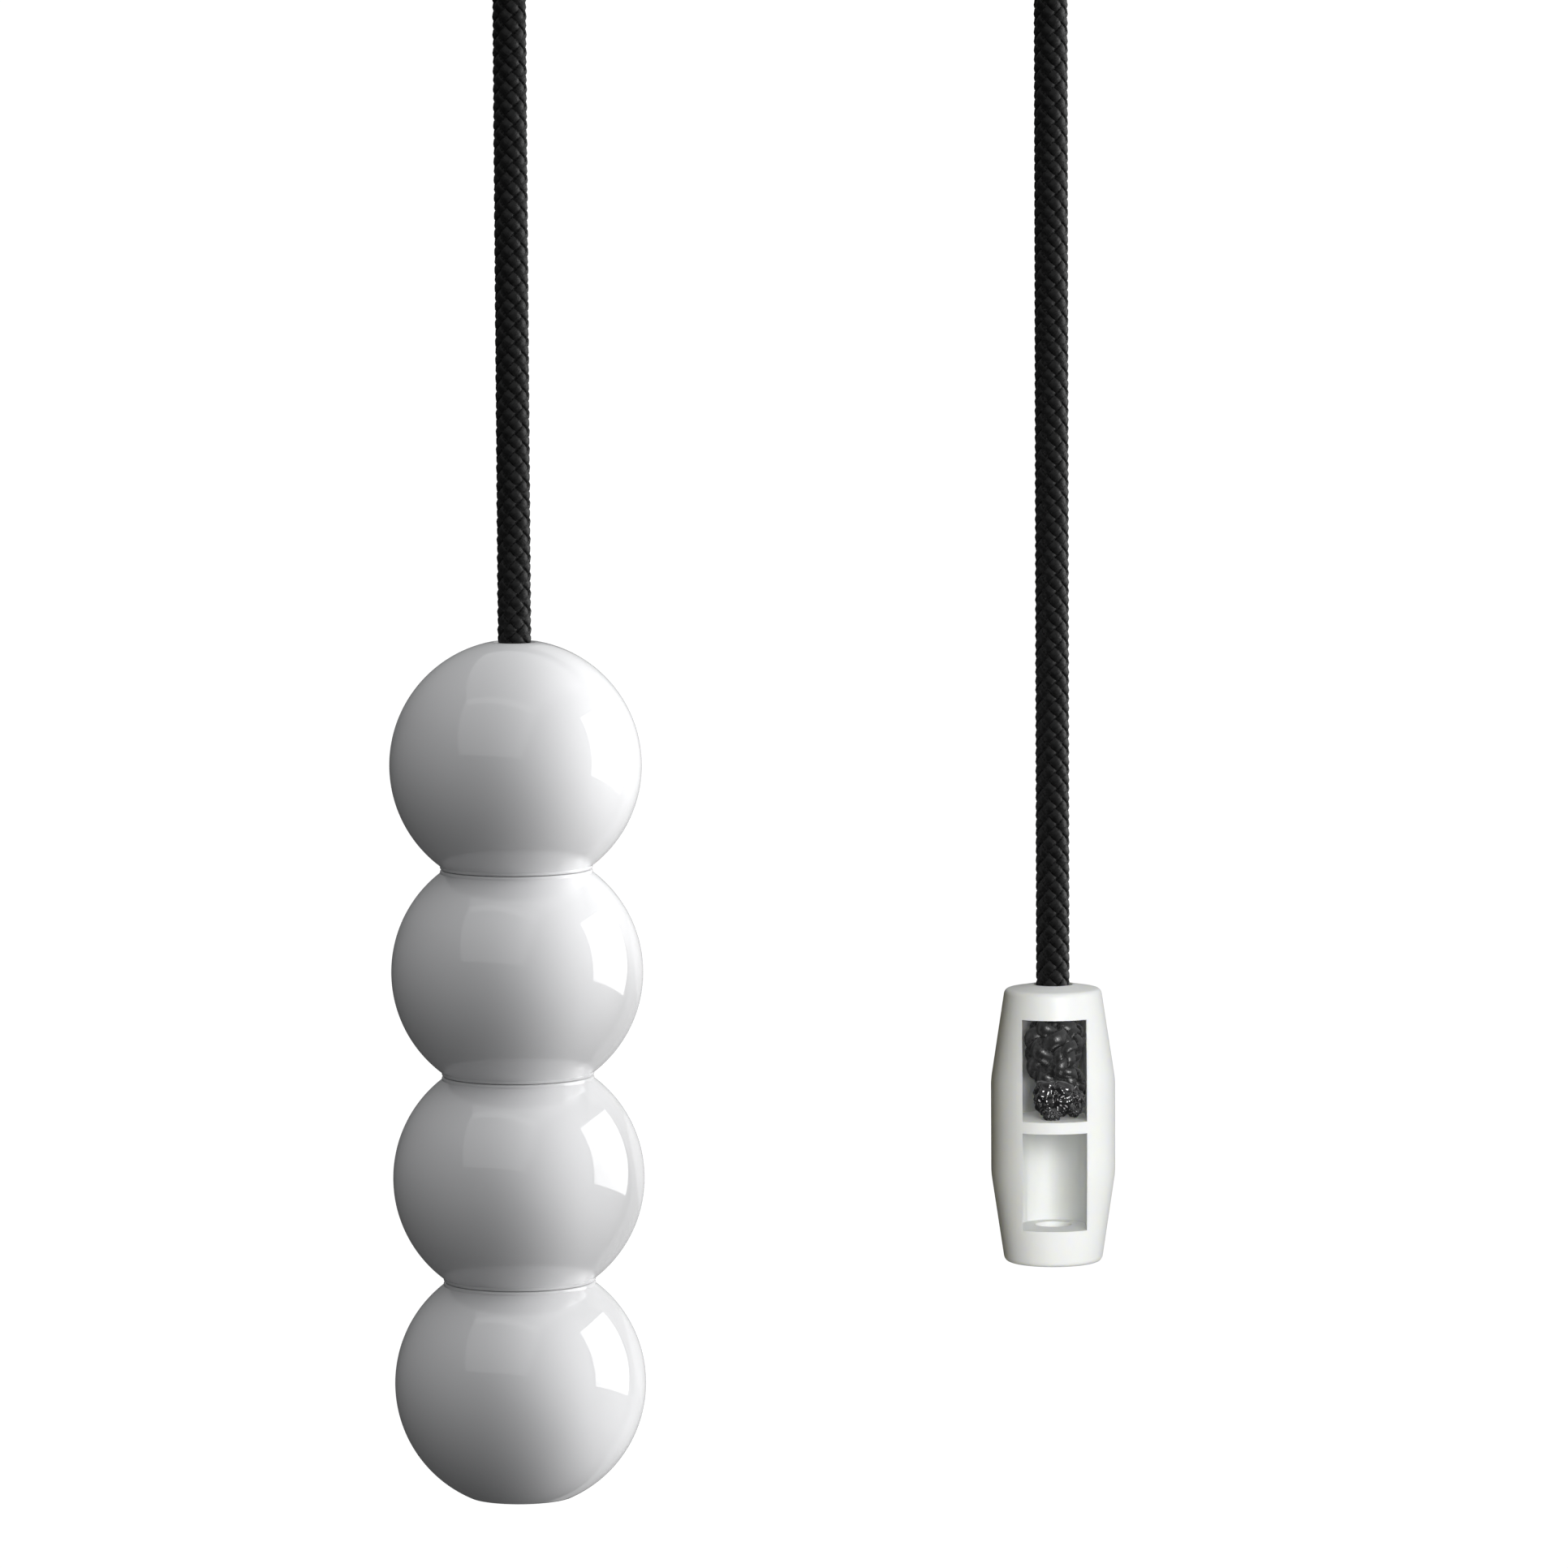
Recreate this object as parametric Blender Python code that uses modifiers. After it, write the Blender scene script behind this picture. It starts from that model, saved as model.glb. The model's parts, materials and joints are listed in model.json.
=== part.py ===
"""A two-gang ceiling pull-cord switch. One cord ends in a handle of four balls, the other in a connector.

The origin is on the ceiling, midway between the two cords, with +Z up. The front is -Y. Sizes below are in
millimetres, and every helper turns them into metres as it makes its shape.

Each cord has its own mechanism, and the two are mirror images. Its shapes are placed by u, the distance from
the cord's axis towards the middle of the switch.
"""

import math

import bmesh
import bpy
from mathutils import Matrix, Vector

MM = 0.001
WELD = 0.000005
GAP = 0.3

# Cords and their travel
CORD_X = 31.9
CORD_R = 2.0
CORD_BORE = 2.35
CORD_POINT_STEP = 9.0
STROKE = 8.0

# Base plate, against the ceiling
PLATE_R = 24.4
PLATE_BOTTOM = -3.0
STOP_RING_INNER = 5.4
STOP_RING_BOTTOM = -6.5
SCREW_R = 1.3
PILOT_R = SCREW_R + GAP
CEILING_HOLE_X = 50.0
CEILING_HOLE_R = 2.25
CABLE_HOLE_Y = 9.0
CABLE_HOLE_R = 6.5
EARTH_Y = -9.0
EARTH_BOSS_R = 3.6
EARTH_BOSS_BOTTOM = -5.0

# Cover
COVER_R = 27.0
COVER_WALL = 2.2
COVER_RIM = -0.4
COVER_BOTTOM = -38.0
COVER_FLOOR = COVER_BOTTOM + COVER_WALL
COVER_EDGE_ROUND = 5.0
COVER_POST_Y = 20.5
COVER_POST_R = 3.0
COVER_POST_BOTTOM = -32.2
COVER_BOSS_R = 4.6
COVER_HEAD_R = 3.0
COVER_HEAD_TOP = COVER_BOTTOM + 2.7

# Bush that the cord leaves the cover through
GUIDE_FLANGE_R = 8.0
GUIDE_NECK_R = 4.9
GUIDE_TOP = -34.0
GUIDE_BOTTOM = -41.0
GUIDE_EDGE_ROUND = 1.6
GUIDE_FLARE = 2.6
GUIDE_RING_R = 7.2
GUIDE_RING_THICK = 1.2

# Carrier of one mechanism
FLOOR_TOP = -31.6
FLOOR_THICK = 1.6
FLOOR_BOTTOM = FLOOR_TOP - FLOOR_THICK
FLOOR_U = (-9.0, 25.0)
FLOOR_Y = (-17.0, 19.0)
TUBE_INNER = 6.85
TUBE_OUTER = 8.1
TUBE_TOP = -8.0
CARRIER_POSTS = ((-5.0, 15.0), (3.0, -13.0))
POST_R = 3.2
POST_TOP = -9.3
FLOOR_HOLE_R = 2.6
RIB_U = (16.35, 17.15)
RIB_TOP = -25.0

# Slider that the cord pulls down, with its pawl
CUP_R = 6.5
CUP_TOP = STOP_RING_BOTTOM - GAP
CUP_BOTTOM = -13.0
CUP_RECESS_R = 5.0
CUP_RECESS_BOTTOM = -10.5
STEM_R = 3.4
STEM_BORE = 2.3
STEM_BOTTOM = FLOOR_TOP + STROKE + 0.4
SLIDER_KNOT_R = 4.4
SLIDER_KNOT_TOP = -5.6
PAWL_U = (-2.6, -0.6)
PAWL_TIP_U = 0.6
PAWL_Y = (9.6, 11.8)
PAWL_REST_GAP = 0.35

# Return spring
SPRING_R = 5.0
SPRING_WIRE_R = 0.45
SPRING_TURNS = 6.5

# Rotor: a ratchet wheel of eight teeth with a cam of four lobes, so each pull turns it 45 degrees and
# changes the contact
ROTOR_U = 10.2
ROTOR_Z = -19.6
RATCHET_TEETH = 8
RATCHET_ROOT = 9.2
RATCHET_TIP = 11.1
RATCHET_Y = (9.3, 12.0)
CAM_Y = (11.8, 16.3)
CAM_R = 6.5
CAM_LIFT = 0.6
AXLE_R = 1.0
AXLE_Y = (6.9, 18.5)
CHEEK_U = (7.2, 12.9)
CHEEKS_Y = ((7.2, 8.9), (16.7, 18.2))
CHEEK_TOP = -16.1

# Contacts
ARM_Y = (13.3, 15.9)
ARM_TOP = ROTOR_Z - CAM_R + CAM_LIFT - GAP
ARM_THICK = 0.8
ARM_PIVOT_U = 21.0
ARM_PIVOT_Z = ARM_TOP - ARM_THICK / 2
ARM_BARREL_R = 1.3
ARM_PIN_R = 0.6
RIVET_U = 2.0
RIVET_R = 1.2
ARM_RIVET_TIP = -27.4
FIXED_RIVET_TOP = -29.7
STRIP_BOTTOM = FLOOR_TOP + GAP
STRIP_THICK = 0.6
STRIP_END_Y = -6.7

# Terminals
TERMINAL_Y = (-15.0, -7.0)
TERMINAL_TOP = -23.3
TERMINAL_WIRE_R = 1.7
TERMINALS_U = {"in": (9.0, 16.0), "out": (17.5, 24.5)}

# Handle of four balls
BALL_R = 15.0
BALL_PITCH = 24.74
BALL_COUNT = 4
BALL_TOP_Z = -141.8
BALL_NECK_R = 9.1
BALL_BORE = 2.3
FIRST_BALL_FLAT = 14.7
LAST_BALL_FLAT = 13.6
KNOT_POCKET_R = 5.2
KNOT_POCKET_DEPTH = 10.6
WASHER_THICK = 1.0
HANDLE_KNOT_R = 4.5
HANDLE_KNOT_LENGTH = 6.9

# Cord connector
CONNECTOR_TOP = -168.3
CONNECTOR_BOTTOM = -201.6
CONNECTOR_EDGE_ROUND = 0.7
CONNECTOR_DOME = 0.55
CONNECTOR_TOP_R = 5.75
CONNECTOR_MIDDLE_R = 7.4
CONNECTOR_BOTTOM_R = 5.8
CONNECTOR_STRAIGHT = (-179.7, -190.9)
POCKET_R = 3.825
UPPER_POCKET = (-172.0, -184.0)
LOWER_POCKET = (-185.4, -197.2)
POCKET_MOUTH_Y = -10.0
LOWER_BORE = 2.2
CONNECTOR_KNOT_R = 3.4


def clear_scene():
    for obj in list(bpy.data.objects):
        bpy.data.objects.remove(obj)


def new_collection(name):
    collection = bpy.data.collections.new(name)
    bpy.context.scene.collection.children.link(collection)
    return collection


clear_scene()
PARTS = new_collection("pull_cord_switch")
CUTTERS = new_collection("cutters")


# Shapes. Each returns an object in the cutters' collection, until piece() makes it a part of the switch.


def new_object(mesh):
    obj = bpy.data.objects.new(mesh.name, mesh)
    CUTTERS.objects.link(obj)
    return obj


def mesh_object(name, bm):
    mesh = bpy.data.meshes.new(name)
    bmesh.ops.recalc_face_normals(bm, faces=bm.faces)
    bm.to_mesh(mesh)
    bm.free()
    mesh.shade_smooth()
    mesh.set_sharp_from_angle(angle=math.radians(35))
    return new_object(mesh)


def welded_mesh_object(shape, matrix=None):
    """A curve, or a profile with a Screw modifier, as a mesh object with its seams closed."""
    bpy.context.view_layer.update()
    graph = bpy.context.evaluated_depsgraph_get()
    mesh = bpy.data.meshes.new_from_object(shape.evaluated_get(graph))
    mesh.transform(matrix or shape.matrix_world)
    bm = bmesh.new()
    bm.from_mesh(mesh)
    bmesh.ops.remove_doubles(bm, verts=bm.verts, dist=WELD)
    name = shape.name
    bpy.data.objects.remove(shape)
    return mesh_object(name, bm)


def block(low, high):
    """A box between two corners, given in any order."""
    size = [abs(b - a) * MM for a, b in zip(low, high)]
    middle = [(a + b) / 2 * MM for a, b in zip(low, high)]
    bm = bmesh.new()
    bmesh.ops.create_cube(bm, size=1.0)
    bmesh.ops.scale(bm, vec=size, verts=bm.verts)
    bmesh.ops.translate(bm, vec=middle, verts=bm.verts)
    return mesh_object("block", bm)


def rod(radius, start, end, sides=12):
    """A straight round bar between two points."""
    start = Vector(start) * MM
    end = Vector(end) * MM
    along = end - start
    place = Matrix.Translation((start + end) / 2) @ along.to_track_quat("Z", "Y").to_matrix().to_4x4()
    bm = bmesh.new()
    bmesh.ops.create_cone(
        bm,
        cap_ends=True,
        segments=sides,
        radius1=radius * MM,
        radius2=radius * MM,
        depth=along.length,
        matrix=place,
    )
    return mesh_object("rod", bm)


def turned(profile, x=0.0, y=0.0, closed=False, steps=20):
    """A profile of (radius, height) points, run down its outer side, turned about the upright axis at x, y."""
    mesh = bpy.data.meshes.new("turned")
    edges = [(i, i + 1) for i in range(len(profile) - 1)]
    if closed:
        edges.append((len(profile) - 1, 0))
    mesh.from_pydata([(r * MM, 0.0, z * MM) for r, z in profile], edges, [])
    shape = new_object(mesh)
    shape.location = (x * MM, y * MM, 0.0)
    screw = shape.modifiers.new("turn", "SCREW")
    screw.steps = screw.render_steps = steps
    screw.use_merge_vertices = True
    screw.merge_threshold = WELD
    return welded_mesh_object(shape)


def ring(inner, outer, top, bottom, x=0.0, y=0.0, steps=20):
    profile = [(inner, top), (outer, top), (outer, bottom), (inner, bottom)]
    return turned(profile, x, y, closed=True, steps=steps)


def curve_object(name, points, cyclic=False):
    """A POLY curve through points."""
    curve = bpy.data.curves.new(name, "CURVE")
    spline = curve.splines.new("POLY")
    spline.points.add(len(points) - 1)
    for target, point in zip(spline.points, points):
        target.co = [*(value * MM for value in point), 1.0]
    spline.use_cyclic_u = cyclic
    obj = bpy.data.objects.new(name, curve)
    CUTTERS.objects.link(obj)
    return obj


def outline(points, thickness, place):
    """A flat outline, filled and given a thickness about its own plane, then moved by a matrix."""
    shape = curve_object("outline", [(a, b, 0.0) for a, b in points], cyclic=True)
    shape.data.dimensions = "2D"
    shape.data.fill_mode = "BOTH"
    shape.data.extrude = thickness / 2 * MM
    return welded_mesh_object(shape, place)


def plan(points, top, bottom):
    """An outline seen from above, between two heights."""
    place = Matrix.Translation((0.0, 0.0, (top + bottom) / 2 * MM))
    return outline(points, top - bottom, place)


def elevation(points, y_range):
    """An outline of (x, z) points seen from the front, between two depths."""
    near, far = y_range
    place = Matrix.Translation((0.0, (near + far) / 2 * MM, 0.0)) @ Matrix.Rotation(math.pi / 2, 4, "X")
    return outline(points, far - near, place)


def tube(name, points, radius):
    """A round wire or cord along points, with closed ends."""
    shape = curve_object(name, points)
    shape.data.dimensions = "3D"
    shape.data.bevel_depth = radius * MM
    shape.data.bevel_resolution = 2
    shape.data.use_fill_caps = True
    return shape


def arc(centre_x, centre_y, radius, start, end, count):
    """Points along an arc, with its angles in degrees."""
    angles = [math.radians(start + (end - start) * i / count) for i in range(count + 1)]
    return [(centre_x + radius * math.cos(a), centre_y + radius * math.sin(a)) for a in angles]


def stadium(radius, top, bottom):
    """The switch's own outline: two half circles about the cords' axes, with straight sides between them."""
    points = arc(CORD_X, 0.0, radius, -90, 90, 14) + arc(-CORD_X, 0.0, radius, 90, 270, 14)
    return plan(points, top, bottom)


def round_lower_edge(shape, height, width, segments):
    """Rounds the edges that run round a shape at one height."""
    bm = bmesh.new()
    bm.from_mesh(shape.data)
    bmesh.ops.dissolve_limit(bm, angle_limit=math.radians(1), verts=bm.verts, edges=bm.edges)
    at_height = [e for e in bm.edges if all(abs(v.co.z - height * MM) < WELD for v in e.verts)]
    bmesh.ops.bevel(
        bm,
        geom=at_height,
        offset=width * MM,
        segments=segments,
        profile=0.5,
        affect="EDGES",
        clamp_overlap=True,
    )
    bm.to_mesh(shape.data)
    bm.free()


# Pieces


def material(name, colour, roughness, metallic=0.0):
    result = bpy.data.materials.new(name)
    result.use_nodes = True
    shader = result.node_tree.nodes["Principled BSDF"]
    shader.inputs["Base Color"].default_value = (*colour, 1.0)
    shader.inputs["Roughness"].default_value = roughness
    shader.inputs["Metallic"].default_value = metallic
    result.diffuse_color = (*colour, 1.0)
    return result


HOUSING_WHITE = material("housing_white", (0.84, 0.84, 0.82), 0.32)
MECHANISM_IVORY = material("mechanism_ivory", (0.74, 0.70, 0.60), 0.45)
SLIDER_GREY = material("slider_grey", (0.42, 0.43, 0.44), 0.42)
ROTOR_NYLON = material("rotor_nylon", (0.80, 0.79, 0.74), 0.40)
BALL_WHITE = material("ball_white", (0.86, 0.86, 0.86), 0.07)
CONNECTOR_WHITE = material("connector_white", (0.88, 0.89, 0.87), 0.38)
CORD_BLACK = material("cord_black", (0.012, 0.012, 0.013), 0.55)
BRASS = material("brass", (0.78, 0.57, 0.27), 0.28, 1.0)
COPPER = material("contact_copper", (0.80, 0.45, 0.30), 0.30, 1.0)
STEEL = material("zinc_plated_steel", (0.62, 0.63, 0.64), 0.30, 1.0)
SPRING_STEEL = material("spring_steel", (0.50, 0.51, 0.52), 0.25, 1.0)


def join_and_cut(base, joined=(), cut=()):
    """Joins shapes to a piece, then cuts shapes from it."""
    for operation, shapes in (("UNION", joined), ("DIFFERENCE", cut)):
        for shape in shapes:
            shape.name = f"{base.name}_{operation.lower()}_{len(base.modifiers) + 1}"
            shape.hide_render = True
            shape.display_type = "WIRE"
            boolean = base.modifiers.new(shape.name, "BOOLEAN")
            boolean.operation = operation
            boolean.object = shape


def piece(name, finish, base, joined=(), cut=(), pivot=None):
    """Makes a node of a base shape, with shapes joined to it and cut from it, hung from its joint's empty."""
    CUTTERS.objects.unlink(base)
    PARTS.objects.link(base)
    base.name = name
    base.data.name = name
    base.data.materials.clear()
    base.data.materials.append(finish)
    join_and_cut(base, joined, cut)
    if pivot:
        base.parent = pivot
        base.matrix_parent_inverse = pivot.matrix_world.inverted()
    return base


def pivot_empty(name, x, y, z, parent=None):
    """An empty on a joint's axis, which the pieces of one moving body hang from."""
    empty = bpy.data.objects.new(name, None)
    PARTS.objects.link(empty)
    empty.empty_display_size = 5 * MM
    empty.location = (x * MM, y * MM, z * MM)
    bpy.context.view_layer.update()
    if parent:
        empty.parent = parent
        empty.matrix_parent_inverse = parent.matrix_world.inverted()
        bpy.context.view_layer.update()
    return empty


def screw(name, x, y, head_top, head_bottom, head_r, tip, slot=0.9):
    """A slotted screw driven upwards, with its head at the bottom."""
    head_round = 0.5
    profile = [
        (0.0, tip),
        (SCREW_R * 0.55, tip),
        (SCREW_R, tip - 0.9),
        (SCREW_R, head_top),
        (head_r, head_top),
        (head_r, head_bottom + head_round),
        (head_r - head_round, head_bottom),
        (0.0, head_bottom),
    ]
    slot_depth = 0.8
    slot_low = (x - slot / 2, y - head_r - 1, head_bottom - 1)
    slot_high = (x + slot / 2, y + head_r + 1, head_bottom + slot_depth)
    return piece(name, STEEL, turned(profile, x, y, steps=10), cut=[block(slot_low, slot_high)])


def base_plate():
    joined = []
    cut = [rod(CABLE_HOLE_R, (0, CABLE_HOLE_Y, 1), (0, CABLE_HOLE_Y, PLATE_BOTTOM - 1), 32)]
    embed = PLATE_BOTTOM + 0.5
    for side in (-1, 1):
        joined.append(ring(STOP_RING_INNER, TUBE_OUTER, embed, STOP_RING_BOTTOM, side * CORD_X))
        for u, y in CARRIER_POSTS:
            x = side * (CORD_X - u)
            joined.append(rod(POST_R, (x, y, embed), (x, y, POST_TOP + GAP)))
            cut.append(rod(PILOT_R, (x, y, PLATE_BOTTOM - 0.6), (x, y, POST_TOP - 1), 10))
        hole_x = side * CEILING_HOLE_X
        cut.append(rod(CEILING_HOLE_R, (hole_x, 0, 1), (hole_x, 0, PLATE_BOTTOM - 1)))
        post_y = side * COVER_POST_Y
        joined.append(rod(COVER_POST_R, (0, post_y, embed), (0, post_y, COVER_POST_BOTTOM)))
        cut.append(rod(PILOT_R, (0, post_y, COVER_POST_BOTTOM + 9), (0, post_y, COVER_POST_BOTTOM - 1), 10))
    joined.append(rod(EARTH_BOSS_R, (0, EARTH_Y, embed), (0, EARTH_Y, EARTH_BOSS_BOTTOM)))
    cut.append(rod(PILOT_R, (0, EARTH_Y, -0.8), (0, EARTH_Y, EARTH_BOSS_BOTTOM - 1), 10))
    piece("base_plate", HOUSING_WHITE, stadium(PLATE_R, 0.0, PLATE_BOTTOM), joined, cut)


def cover():
    shell = stadium(COVER_R, COVER_RIM, COVER_BOTTOM)
    round_lower_edge(shell, COVER_BOTTOM, COVER_EDGE_ROUND, 4)
    inside = stadium(COVER_R - COVER_WALL, 1.0, COVER_FLOOR)
    round_lower_edge(inside, COVER_FLOOR, COVER_EDGE_ROUND - COVER_WALL, 2)
    bosses = []
    cut = []
    boss_top = COVER_POST_BOTTOM - GAP
    for side in (-1, 1):
        y = side * COVER_POST_Y
        bosses.append(rod(COVER_BOSS_R, (0, y, boss_top), (0, y, COVER_BOTTOM + 0.5)))
        cut.append(rod(PILOT_R, (0, y, boss_top + 1), (0, y, COVER_BOTTOM - 1), 10))
        cut.append(rod(COVER_HEAD_R + GAP, (0, y, COVER_HEAD_TOP + GAP), (0, y, COVER_BOTTOM - 1)))
        x = side * CORD_X
        cut.append(rod(GUIDE_NECK_R + GAP, (x, 0, COVER_FLOOR + 1), (x, 0, COVER_BOTTOM - 1), 24))
    piece("cover", HOUSING_WHITE, shell, cut=[inside])
    join_and_cut(shell, bosses, cut)
    for label, side in (("front", -1), ("rear", 1)):
        screw(
            f"cover_screw_{label}",
            0.0,
            side * COVER_POST_Y,
            head_top=COVER_HEAD_TOP,
            head_bottom=COVER_HEAD_TOP - 2.3,
            head_r=COVER_HEAD_R,
            tip=COVER_POST_BOTTOM + 8,
        )


def earth_terminal():
    top = EARTH_BOSS_BOTTOM - GAP
    thick = 1.2
    half_x = 5.0
    half_y = 4.0
    lug = 1.0
    plate = block((-half_x, EARTH_Y - half_y, top), (half_x, EARTH_Y + half_y, top - thick))
    lugs = []
    for side in (-1, 1):
        low = (side * half_x, EARTH_Y - half_y, top - 3.0)
        high = (side * (half_x - lug), EARTH_Y + half_y, top - 0.2)
        lugs.append(block(low, high))
    hole = rod(PILOT_R, (0, EARTH_Y, top + 1), (0, EARTH_Y, top - thick - 1), 10)
    piece("earth_terminal", BRASS, plate, lugs, [hole])
    head_top = top - thick - GAP
    screw("earth_screw", 0.0, EARTH_Y, head_top, head_top - 2.0, 3.0, tip=-1.1)


# One mechanism. side is -1 for the left cord and 1 for the right.


def gang_x(side, u):
    return side * (CORD_X - u)


def gang_block(side, u_range, y_range, z_range):
    low = (gang_x(side, u_range[0]), y_range[0], z_range[0])
    high = (gang_x(side, u_range[1]), y_range[1], z_range[1])
    return block(low, high)


def gang_elevation(side, points, y_range):
    return elevation([(gang_x(side, u), z) for u, z in points], y_range)


def cord_guide(side, label):
    edge = GUIDE_EDGE_ROUND
    rim = arc(GUIDE_FLANGE_R - edge, GUIDE_BOTTOM + edge, edge, 0, -90, 4)
    flare = arc(CORD_BORE + GUIDE_FLARE, GUIDE_BOTTOM + GUIDE_FLARE, GUIDE_FLARE, 270, 180, 5)
    profile = [
        (CORD_BORE, GUIDE_TOP),
        (GUIDE_NECK_R, GUIDE_TOP),
        (GUIDE_NECK_R, COVER_BOTTOM - GAP),
        (GUIDE_FLANGE_R, COVER_BOTTOM - GAP),
        *rim,
        *flare,
    ]
    piece(f"cord_guide_{label}", HOUSING_WHITE, turned(profile, side * CORD_X, closed=True, steps=20))
    ring_bottom = COVER_FLOOR + GAP
    clip = ring(GUIDE_NECK_R + GAP, GUIDE_RING_R, ring_bottom + GUIDE_RING_THICK, ring_bottom, side * CORD_X)
    piece(f"guide_ring_{label}", STEEL, clip)


def carrier(side, label):
    x = side * CORD_X
    embed = FLOOR_TOP - 0.5
    joined = [ring(TUBE_INNER, TUBE_OUTER, TUBE_TOP, embed, x)]
    slot_u = (PAWL_U[0] - 0.4, PAWL_U[1] + 0.4)
    slot_low = CUP_BOTTOM - STROKE - GAP
    cut = [
        gang_block(side, slot_u, (4.0, TUBE_OUTER + 1), (TUBE_TOP + 1, slot_low)),
        rod(FLOOR_HOLE_R, (x, 0, FLOOR_TOP + 1), (x, 0, FLOOR_BOTTOM - 1)),
    ]
    for y_range in CHEEKS_Y:
        joined.append(gang_block(side, CHEEK_U, y_range, (embed, CHEEK_TOP)))
    axle_x = gang_x(side, ROTOR_U)
    cut.append(rod(AXLE_R + GAP, (axle_x, AXLE_Y[0] - 1, ROTOR_Z), (axle_x, AXLE_Y[1] + 1, ROTOR_Z), 12))
    for u, y in CARRIER_POSTS:
        post_x = gang_x(side, u)
        joined.append(rod(POST_R, (post_x, y, POST_TOP), (post_x, y, embed)))
        cut.append(rod(PILOT_R, (post_x, y, POST_TOP + 1), (post_x, y, FLOOR_BOTTOM - 1), 10))
    joined.append(gang_block(side, RIB_U, TERMINAL_Y, (embed, RIB_TOP)))
    for u_range in TERMINALS_U.values():
        screw_x = gang_x(side, sum(u_range) / 2)
        screw_y = sum(TERMINAL_Y) / 2
        low = (screw_x, screw_y, FLOOR_BOTTOM - 1)
        cut.append(rod(FLOOR_HOLE_R, (screw_x, screw_y, FLOOR_TOP + 1), low, 12))
    floor = gang_block(side, FLOOR_U, FLOOR_Y, (FLOOR_TOP, FLOOR_BOTTOM))
    piece(f"carrier_{label}", MECHANISM_IVORY, floor, joined, cut)
    for number, (u, y) in enumerate(CARRIER_POSTS, start=1):
        screw(
            f"carrier_screw_{number}_{label}",
            gang_x(side, u),
            y,
            head_top=FLOOR_BOTTOM - GAP,
            head_bottom=FLOOR_BOTTOM - 2.0,
            head_r=2.8,
            tip=PLATE_BOTTOM - 1.0,
        )


def pull_slider(side, label, pivot):
    profile = [
        (CUP_RECESS_R, CUP_TOP),
        (CUP_R, CUP_TOP),
        (CUP_R, CUP_BOTTOM),
        (STEM_R, CUP_BOTTOM),
        (STEM_R, STEM_BOTTOM),
        (STEM_BORE, STEM_BOTTOM),
        (STEM_BORE, CUP_RECESS_BOTTOM),
        (CUP_RECESS_R, CUP_RECESS_BOTTOM),
    ]
    bar_top = CUP_BOTTOM + 3.0
    bar_bottom = CUP_BOTTOM + 0.5
    tooth_angle = math.pi / RATCHET_TEETH
    pawl_tip = ROTOR_Z + RATCHET_TIP * math.sin(tooth_angle) + PAWL_REST_GAP
    hook_thick = 1.0
    hook_top = pawl_tip + 2.9
    finger = [
        (PAWL_U[0], bar_top),
        (PAWL_U[1], bar_top),
        (PAWL_U[1], hook_top),
        (PAWL_TIP_U, pawl_tip + hook_thick),
        (PAWL_TIP_U, pawl_tip),
        (PAWL_U[0], pawl_tip),
    ]
    joined = [
        gang_block(side, PAWL_U, (CUP_R - 0.9, PAWL_Y[0] + 0.5), (bar_top, bar_bottom)),
        gang_elevation(side, finger, PAWL_Y),
    ]
    cup = turned(profile, side * CORD_X, closed=True, steps=20)
    piece(f"pull_slider_{label}", SLIDER_GREY, cup, joined, pivot=pivot)


def knot(name, x, top, bottom, radius, pivot):
    """The plain outer shape of a pulled-tight knot."""
    half = (top - bottom) / 2
    middle = (top + bottom) / 2
    power = 2.6
    count = 6
    profile = []
    for i in range(count + 1):
        height = math.cos(math.pi * i / count)
        width = (1 - abs(height) ** power) ** (1 / power)
        profile.append((radius * width, middle + half * height))
    profile[0] = (0.0, top)
    profile[-1] = (0.0, bottom)
    return piece(name, CORD_BLACK, turned(profile, x, steps=12), pivot=pivot)


def return_spring(side, label):
    top = CUP_BOTTOM - GAP - SPRING_WIRE_R
    bottom = FLOOR_TOP + GAP + SPRING_WIRE_R
    per_turn = 8
    count = int(SPRING_TURNS * per_turn)
    points = []
    for i in range(count + 1):
        angle = 2 * math.pi * i / per_turn
        x = side * (CORD_X + SPRING_R * math.cos(angle))
        points.append((x, SPRING_R * math.sin(angle), top + (bottom - top) * i / count))
    coil = tube("spring", points, SPRING_WIRE_R)
    piece(f"return_spring_{label}", SPRING_STEEL, welded_mesh_object(coil))


def ratchet_rotor(side, label, pivot):
    """Each tooth has a radial face that the pawl pushes, and a back that rises to the next tooth's tip."""
    step = 360.0 / RATCHET_TEETH
    per_back = 3
    ratchet = []
    for tooth in range(RATCHET_TEETH):
        for i in range(per_back + 1):
            # u runs towards the middle, so the side that faces the cord is at 180 degrees.
            angle = math.radians(180 - step / 2 - step * (tooth + i / per_back))
            radius = RATCHET_ROOT + (RATCHET_TIP - RATCHET_ROOT) * i / per_back
            ratchet.append((ROTOR_U + radius * math.cos(angle), ROTOR_Z + radius * math.sin(angle)))
    cam = []
    for i in range(40):
        angle = 2 * math.pi * i / 40
        radius = CAM_R - CAM_LIFT * math.cos(4 * angle)
        cam.append((ROTOR_U + radius * math.cos(angle), ROTOR_Z + radius * math.sin(angle)))
    x = gang_x(side, ROTOR_U)
    bore = rod(AXLE_R + GAP, (x, RATCHET_Y[0] - 1, ROTOR_Z), (x, CAM_Y[1] + 1, ROTOR_Z), 16)
    wheel = gang_elevation(side, ratchet, RATCHET_Y)
    piece(f"ratchet_rotor_{label}", ROTOR_NYLON, wheel, [gang_elevation(side, cam, CAM_Y)], [bore], pivot)
    piece(f"rotor_axle_{label}", STEEL, rod(AXLE_R, (x, AXLE_Y[0], ROTOR_Z), (x, AXLE_Y[1], ROTOR_Z), 16))


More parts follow.
